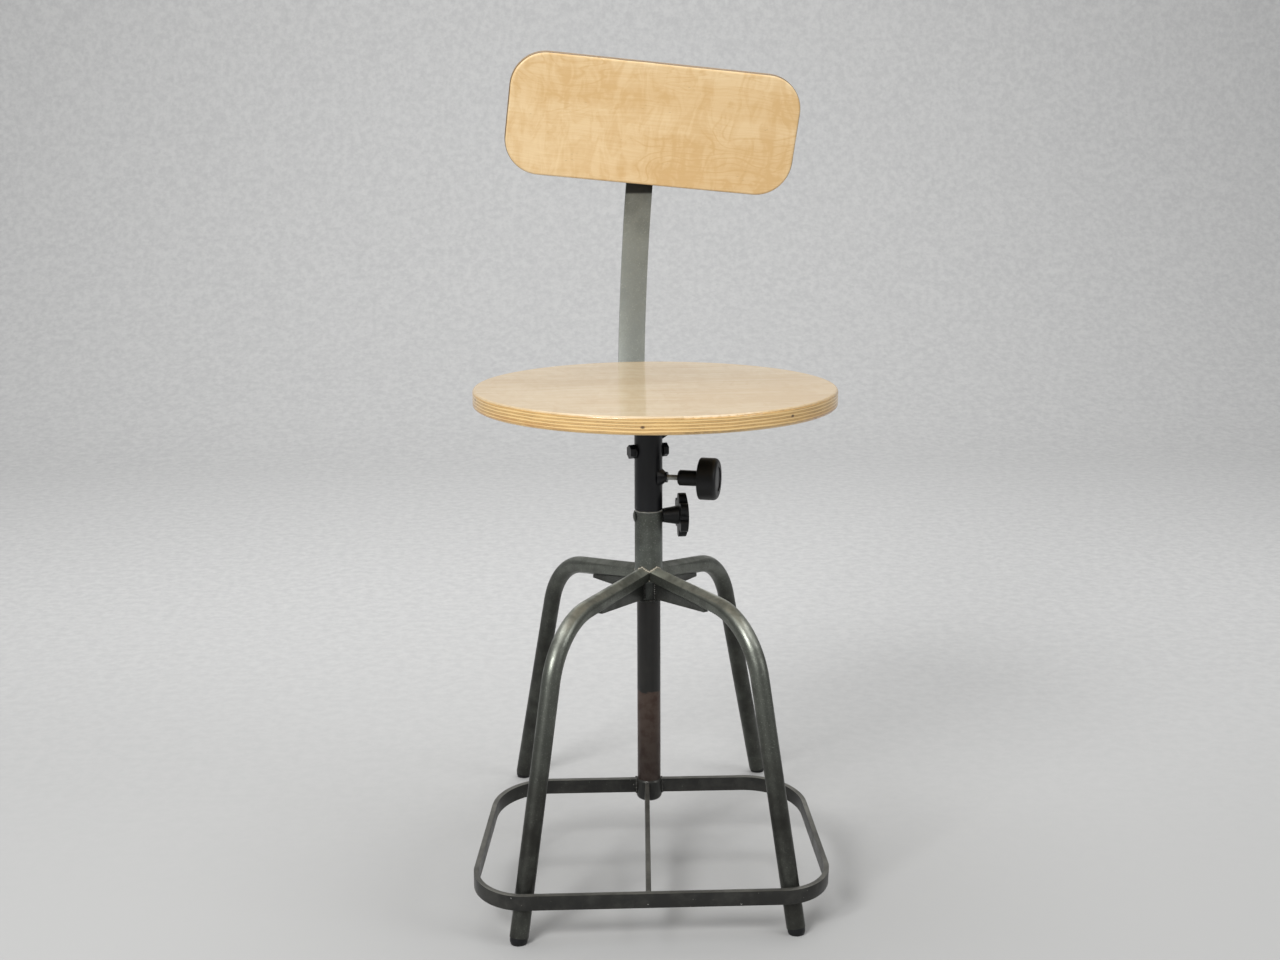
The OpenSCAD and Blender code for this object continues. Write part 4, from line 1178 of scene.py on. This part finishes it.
@dataclass
class BaseFrame:
    """Sleeve, centre tube, star bolt, legs, gussets and plugs."""

    shop: Workshop
    tube: LegTube = field(default_factory=LegTube)
    sleeve_r: float = 15.0 * MM
    sleeve_low: float = 290.0 * MM
    sleeve_highlight_rim: float = 0.3851
    gusset_t: float = 5.0 * MM
    gusset_h: float = 15.0 * MM
    ring_r: float = 13.4 * MM
    ring_z: float = 287.4 * MM
    leg_weld_r: float = 0.0012
    leg_weld_out: float = 0.0004
    hub_weld_r: float = 0.0014
    hub_weld_out: float = 0.0002
    hub_weld_up: float = 0.001
    legs: tuple[Leg, ...] = (
        Leg("near_left", -121.4, 3.9, 189.1, 15.1, 4.0),
        Leg("near_right", -58.6, 3.9, 183.4, 14.5, 0.0),
        Leg("far_left", 122.6, 8.2, 181.6, 16.6, 4.0),
        Leg("far_right", 57.4, 8.2, 166.5, 19.8, 0.0),
    )

    def end_seams(self, leg: Leg) -> list[list[Vector]]:
        """Follows the seam over the top of a leg, where it meets the sleeve.

        Args:
            leg: The leg.

        Returns:
            The stretches of the seam on the leg's own side of the middle.
        """
        runs: list[list[Vector]] = [[]]
        first, step, count = -30.0, 2.5, 61
        for k in range(count):
            angle = math.radians(first + step * k)
            point = self.tube.root_point(leg, angle + math.radians(leg.tilt), self.tube.girth(angle),
                                         self.sleeve_r, self.leg_weld_out)
            if (point.x - COLUMN.x) * leg.along().x > 0.0:
                runs[-1].append(point)
            elif runs[-1]:
                runs.append([])
        return [run for run in runs if len(run) > 1]

    def gusset_seams(self, leg: Leg) -> list[list[Vector]]:
        """Follows the two seams where the gusset under a leg meets the sleeve."""
        paths = []
        for face in (-1.0, 1.0):
            across = leg.side() * face * self.gusset_t * 0.5
            foot = COLUMN + leg.along() * (self.sleeve_r + self.hub_weld_out) + across
            paths.append(upright(foot, self.sleeve_low + self.hub_weld_up, self.sleeve_low + self.gusset_h))
        return paths

    def ring(self) -> list[Vector]:
        """Follows the closed ring under the sleeve."""
        step = 5
        turns = [math.radians(angle) for angle in range(0, 360 + step, step)]
        return [COLUMN + Vector((self.ring_r * math.cos(t), self.ring_r * math.sin(t), self.ring_z))
                for t in turns]

    def build(self) -> None:
        """Dresses the base, sweeps its legs and lays its welds."""
        shop = self.shop
        shop.dress(["star_bolt"], Slot.GREY)
        shop.dress(["centre_tube"], Slot.TUBE)
        shop.dress([n for n in shop.nodes if n.startswith("plug_")], Slot.PLASTIC)
        # Painted shadow: the gussets under the legs take a darker copy of the enamel, darker still lower
        # down.
        shop.dress([n for n in shop.nodes if n.startswith("gusset_")], HammeredEnamel(
            "gusset_shaded_enamel", base=srgb(84, 86, 82), pale=srgb(118, 121, 114), deep=srgb(62, 63, 60),
            worn=0.0, shade_and_grime_low=0.28, shade_and_grime_high=0.31))
        # Painted shade with some dirt in a dark band just below the legs, and a painted highlight round the
        # top rim.
        shop.dress(["hub_sleeve"], HammeredEnamel(
            "sleeve_shaded_lit_enamel", base=srgb(108, 112, 107), worn=0.0, shade_and_grime=srgb(28, 28, 28),
            shade_and_grime_low=0.306, shade_and_grime_high=0.313, rim=self.sleeve_highlight_rim))
        # Painted shade: the far legs take a darker copy of the enamel, with less painted light where they
        # face up.
        far_shaded_coat = HammeredEnamel("far_leg_shaded_enamel", top=srgb(126, 129, 121), shade_and_grime=srgb(50, 50, 47),
                                  shade_and_grime_low=0.24, shade_and_grime_high=0.305).make(shop.effects)
        bright: list[list[Vector]] = []
        painted = [self.ring()]
        for leg in self.legs:
            coat = far_shaded_coat if leg.name.startswith("far") else None
            shop.attach(self.tube.sweep(leg), Body.BASE, Slot.GREY, "leg_" + leg.name, coat)
            bright.extend(self.end_seams(leg))
            painted.extend(self.gusset_seams(leg))
        leg_welds = shop.bead.lay("leg_welds", bright, self.leg_weld_r)
        shop.attach(leg_welds, Body.BASE, Slot.BRIGHT, material=shop.weld_metal)
        shop.attach(shop.bead.lay("hub_welds", painted, self.hub_weld_r), Body.BASE, Slot.DARK)


@dataclass
class Footrest:
    """Collar, flat bar hoop and strut."""

    shop: Workshop
    collar_r: float = 14.0 * MM
    bar_t: float = 5.0 * MM
    bar_low: float = 66.0 * MM
    bar_high: float = 81.0 * MM
    weld_r: float = 0.0012
    weld_out: float = 0.0003
    weld_apart: float = 0.0004
    hoop_edge: float = 0.0007
    strut_edge: float = 0.0006

    def seams(self) -> list[list[Vector]]:
        """Follows the four upright seams where the hoop meets the collar."""
        paths = []
        for side in (-1.0, 1.0):
            for face in (-1.0, 1.0):
                across = face * self.bar_t * 0.5
                out = math.sqrt(self.collar_r ** 2 - across ** 2) + self.weld_out
                foot = COLUMN + Vector((side * out, across + face * self.weld_apart, 0.0))
                paths.append(upright(foot, self.bar_low, self.bar_high))
        return paths

    def build(self) -> None:
        """Dresses the footrest, softens its bars and lays its welds."""
        shop = self.shop
        shop.dress(["collar"], Slot.DARK)
        for name, width in (("footrest_hoop", self.hoop_edge), ("footrest_strut", self.strut_edge)):
            piece = shop.soft.copy(shop.nodes[name], name + "_bar", width)
            shop.attach(piece, Body.BASE, Slot.DARK, name)
        weld_paint = DarkSteel("weld_paint", coat=srgb(58, 58, 55)).make(shop.effects)
        welds = shop.bead.lay("collar_welds", self.seams(), self.weld_r)
        shop.attach(welds, Body.BASE, Slot.DARK, material=weld_paint)


@dataclass
class Column:
    """Post, seat tube with its boss, cross bolt, plate, screws and both knobs."""

    shop: Workshop
    star_edge: float = 0.0014
    star_edge_faces: int = 4

    def build(self) -> None:
        """Dresses the column and softens the star knob."""
        shop = self.shop
        shop.dress(["seat_post"], Slot.BRIGHT)
        shop.dress(["post_bush"], Slot.NYLON)
        shop.dress(["seat_tube", "clamp_boss", "seat_plate", "cross_bolt", "cross_nut", "cross_washers",
                    "arm_bolts", "clamp_cap"], Slot.BLACK)
        shop.dress(["seat_screws", "backrest_screws", "clamp_screw"], Slot.ZINC)
        shop.dress(["clamp_knob"], Slot.PLASTIC)
        star = shop.soft.copy(shop.nodes["star_knob"], "star_knob_moulding", self.star_edge,
                              self.star_edge_faces)
        shop.attach(star, Body.STAR, Slot.PLASTIC, "star_knob")


@dataclass
class SeatGroup:
    """What the seat and the back share: how they are turned on the column, and their offset."""

    shop: Workshop
    turn: float = math.radians(5.2)
    side: float = 3.0 * MM

    def place(self, y: float, z: float) -> Matrix:
        """Gives the frame that is turned with the seat, at y behind the column and at height z."""
        return (Matrix.Translation(COLUMN) @ Matrix.Rotation(self.turn, 4, "Z")
                @ Matrix.Translation((self.side, y, z)))


@dataclass
class SeatBoard(SeatGroup):
    """The round plywood seat."""

    forward: float = 30.0 * MM
    low: float = 506.0 * MM
    thick: float = 18.0 * MM
    ply: float = 0.00165
    knots: tuple[Triple, ...] = (
        (-0.0388, -0.186, 0.008),
        (0.1127, -0.1529, 0.0095),
        (-0.1883, -0.0251, 0.0125),
    )

    def build(self) -> None:
        """Dresses the seat."""
        frame = self.place(-self.forward, self.low)
        self.shop.dress(["seat_panel"], BirchPly("birch_seat", frame=frame, thick=self.thick, ply=self.ply,
                                                 knots=self.knots, stain=0.6))


@dataclass
class BackBoard(SeatGroup):
    """The bent bar and the plywood backrest."""

    arm_z: float = 498.5 * MM
    roll: float = math.radians(3.0)
    bend_y: float = 153.5 * MM
    bend_r: float = 12.0 * MM
    lean: float = math.radians(15.9)
    arc_r: float = 469.5 * MM
    back_lean: float = math.radians(12.0)
    panel_side: float = 9.2 * MM
    panel_up: float = 61.0 * MM
    panel_roll: float = math.radians(2.8)
    bar_t: float = 5.0 * MM
    bar_edge: float = 0.0006
    thick: float = 12.0 * MM
    ply: float = 0.0014

    @staticmethod
    def bent(radius: float, angle: float) -> Matrix:
        """Moves on round a bend that turns up, by its radius and the angle that it turns."""
        return (Matrix.Translation((0, 0, radius)) @ Matrix.Rotation(angle, 4, "X")
                @ Matrix.Translation((0, 0, -radius)))

    def frame(self) -> Matrix:
        """Gives the backrest's own frame: its middle on the back, X across, Z to the front."""
        place = self.place(0, self.arm_z) @ Matrix.Rotation(self.roll, 4, "Y")
        place = place @ Matrix.Translation((0, self.bend_y, 0))
        place = place @ self.bent(self.bend_r, math.radians(90) - self.lean)
        place = place @ self.bent(self.arc_r, self.lean + self.back_lean)
        place = place @ Matrix.Translation((self.panel_side, self.panel_up, self.bar_t / 2))
        return place @ Matrix.Rotation(-self.panel_roll, 4, "Z")

    def build(self) -> None:
        """Dresses the backrest and softens the bar."""
        shop = self.shop
        # The backrest's birch has lighter tones than the seat's, though it is the same wood: the difference
        # is painted light.
        shop.dress(["backrest_panel"], BirchPly(
            "birch_back", frame=self.frame(), thick=self.thick, ply=self.ply, light=srgb(240, 214, 170),
            dark=srgb(218, 182, 128), long=srgb(176, 144, 96), cross=srgb(112, 88, 54),
            glue=srgb(60, 45, 27), figure=0.42, fibre=0.25, rings=0.36, gloss=0.15, polish=0.2))
        bar = shop.soft.copy(shop.nodes["back_bar"], "back_bar_softened", self.bar_edge)
        # Painted shade: the bar darkens towards the backrest above it, and a dark band on its front just
        # under the backrest is painted shadow.
        coat = HammeredEnamel(
            "bar_shaded_enamel", base=srgb(172, 177, 171), pale=srgb(196, 200, 193), deep=srgb(140, 144, 138),
            top=srgb(166, 170, 163), worn=0.0, shade_and_grime=srgb(76, 78, 74), shade_and_grime_high=0.65, shade_and_grime_low=0.735,
            shadow_strip=(0.7135, 0.78, 0.0015)).make(shop.effects)
        shop.attach(bar, Body.SEAT, Slot.GREY, "back_bar", coat)


@dataclass(frozen=True)
class SoftLight:
    """One soft square light, with its side length and its power in watts."""

    name: str
    place: Triple
    aim: Triple
    size: float
    power: float

    def hang(self) -> None:
        """Adds the light to the scene."""
        data = bpy.data.lights.new(self.name, "AREA")
        data.size = self.size
        data.energy = self.power
        turn = (Vector(self.aim) - Vector(self.place)).to_track_quat("-Z", "Y").to_matrix().to_4x4()
        show(self.name, data).matrix_world = Matrix.Translation(self.place) @ turn


@dataclass
class Studio:
    """Floor, backdrop, lights and camera.

    Attributes:
        eye: Where the camera stands. It is turned right by yaw, and looks down by pitch.
        lens: Its focal length in millimetres.
        film: The width of its film in millimetres.
        near: The floor's front edge. The floor runs back to far, where it sweeps up.
        half: Half the floor's width.
    """

    effects: Effects
    eye: Vector = field(default_factory=lambda: Vector((-97.10, -1883.34, 809.0)) * MM)
    yaw: float = math.radians(2.526)
    pitch: float = math.radians(11.70)
    roll: float = math.radians(-0.191)
    lens: float = 50.625
    film: float = 36.0
    clip: tuple[float, float] = (0.05, 50.0)
    room_color: tuple[float, float, float, float] = (0.97, 0.98, 1.0, 1.0)
    room_strength: float = 0.24
    near: float = -3.0
    far: float = 2.2
    sweep_r: float = 1.2
    half: float = 6.0
    high: float = 5.0
    lights: tuple[SoftLight, ...] = (
        SoftLight("ceiling", (0.0, 0.4, 3.2), (0.0, 0.4, 0.0), 3.4, 70.0),
        SoftLight("key", (-1.5, -2.2, 2.2), (0.0, 0.0, 0.45), 1.1, 78.0),
        SoftLight("fill", (2.4, -1.2, 1.7), (0.0, 0.0, 0.4), 1.2, 19.0),
        SoftLight("backdrop", (0.0, 1.2, 2.7), (0.0, 3.2, 0.5), 2.4, 26.0),
    )

    def add_floor(self) -> None:
        """Makes the floor with its sweep up into the backdrop."""
        profile = [(self.near, 0.0), (self.far, 0.0)]
        steps = 12
        for k in range(1, steps + 1):
            angle = math.radians(90 * k / steps)
            profile.append((self.far + self.sweep_r * math.sin(angle),
                            self.sweep_r - self.sweep_r * math.cos(angle)))
        profile.append((self.far + self.sweep_r, self.high))
        points = [(x, y, z) for x in (-self.half, self.half) for y, z in profile]
        count = len(profile)
        faces = [(k, k + count, k + count + 1, k + 1) for k in range(count - 1)]
        mesh = bpy.data.meshes.new("studio_floor")
        mesh.from_pydata(points, [], faces)
        mesh.shade_smooth()
        mesh.materials.append(PaleFloor("pale_floor").make(self.effects))
        show("studio_floor", mesh)

    def add_world(self) -> None:
        """Sets the even light of the room."""
        world = bpy.data.worlds.new("studio")
        world.use_nodes = True
        room = world.node_tree.nodes["Background"]
        room.inputs["Color"].default_value = self.room_color
        room.inputs["Strength"].default_value = self.room_strength
        bpy.context.scene.world = world

    def add_camera(self) -> None:
        """Places the camera where the photograph was taken."""
        ahead = Vector((math.sin(self.yaw) * math.cos(self.pitch),
                        math.cos(self.yaw) * math.cos(self.pitch), -math.sin(self.pitch)))
        right = Vector((math.cos(self.yaw), -math.sin(self.yaw), 0.0))
        up = right.cross(ahead)
        right_rolled = right * math.cos(self.roll) + up * math.sin(self.roll)
        up_rolled = up * math.cos(self.roll) - right * math.sin(self.roll)
        data = bpy.data.cameras.new("camera")
        data.lens = self.lens
        data.sensor_width = self.film
        data.clip_start, data.clip_end = self.clip
        camera = show("camera", data)
        turn = Matrix((right_rolled, up_rolled, -ahead)).transposed().to_4x4()
        camera.matrix_world = Matrix.Translation(self.eye) @ turn
        bpy.context.scene.camera = camera

    def build(self) -> None:
        """Builds the whole studio."""
        self.add_floor()
        for light in self.lights:
            light.hang()
        self.add_world()
        bpy.context.scene.view_settings.view_transform = "Standard"
        self.add_camera()


def main() -> None:
    """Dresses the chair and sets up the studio."""
    logging.basicConfig(level=logging.INFO, format="%(message)s")
    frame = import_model()
    shop = Workshop(frame["nodes"])
    for group in (BaseFrame, Footrest, Column, SeatBoard, BackBoard):
        group(shop).build()
    Studio(shop.effects).build()


if __name__ == "__main__":
    main()
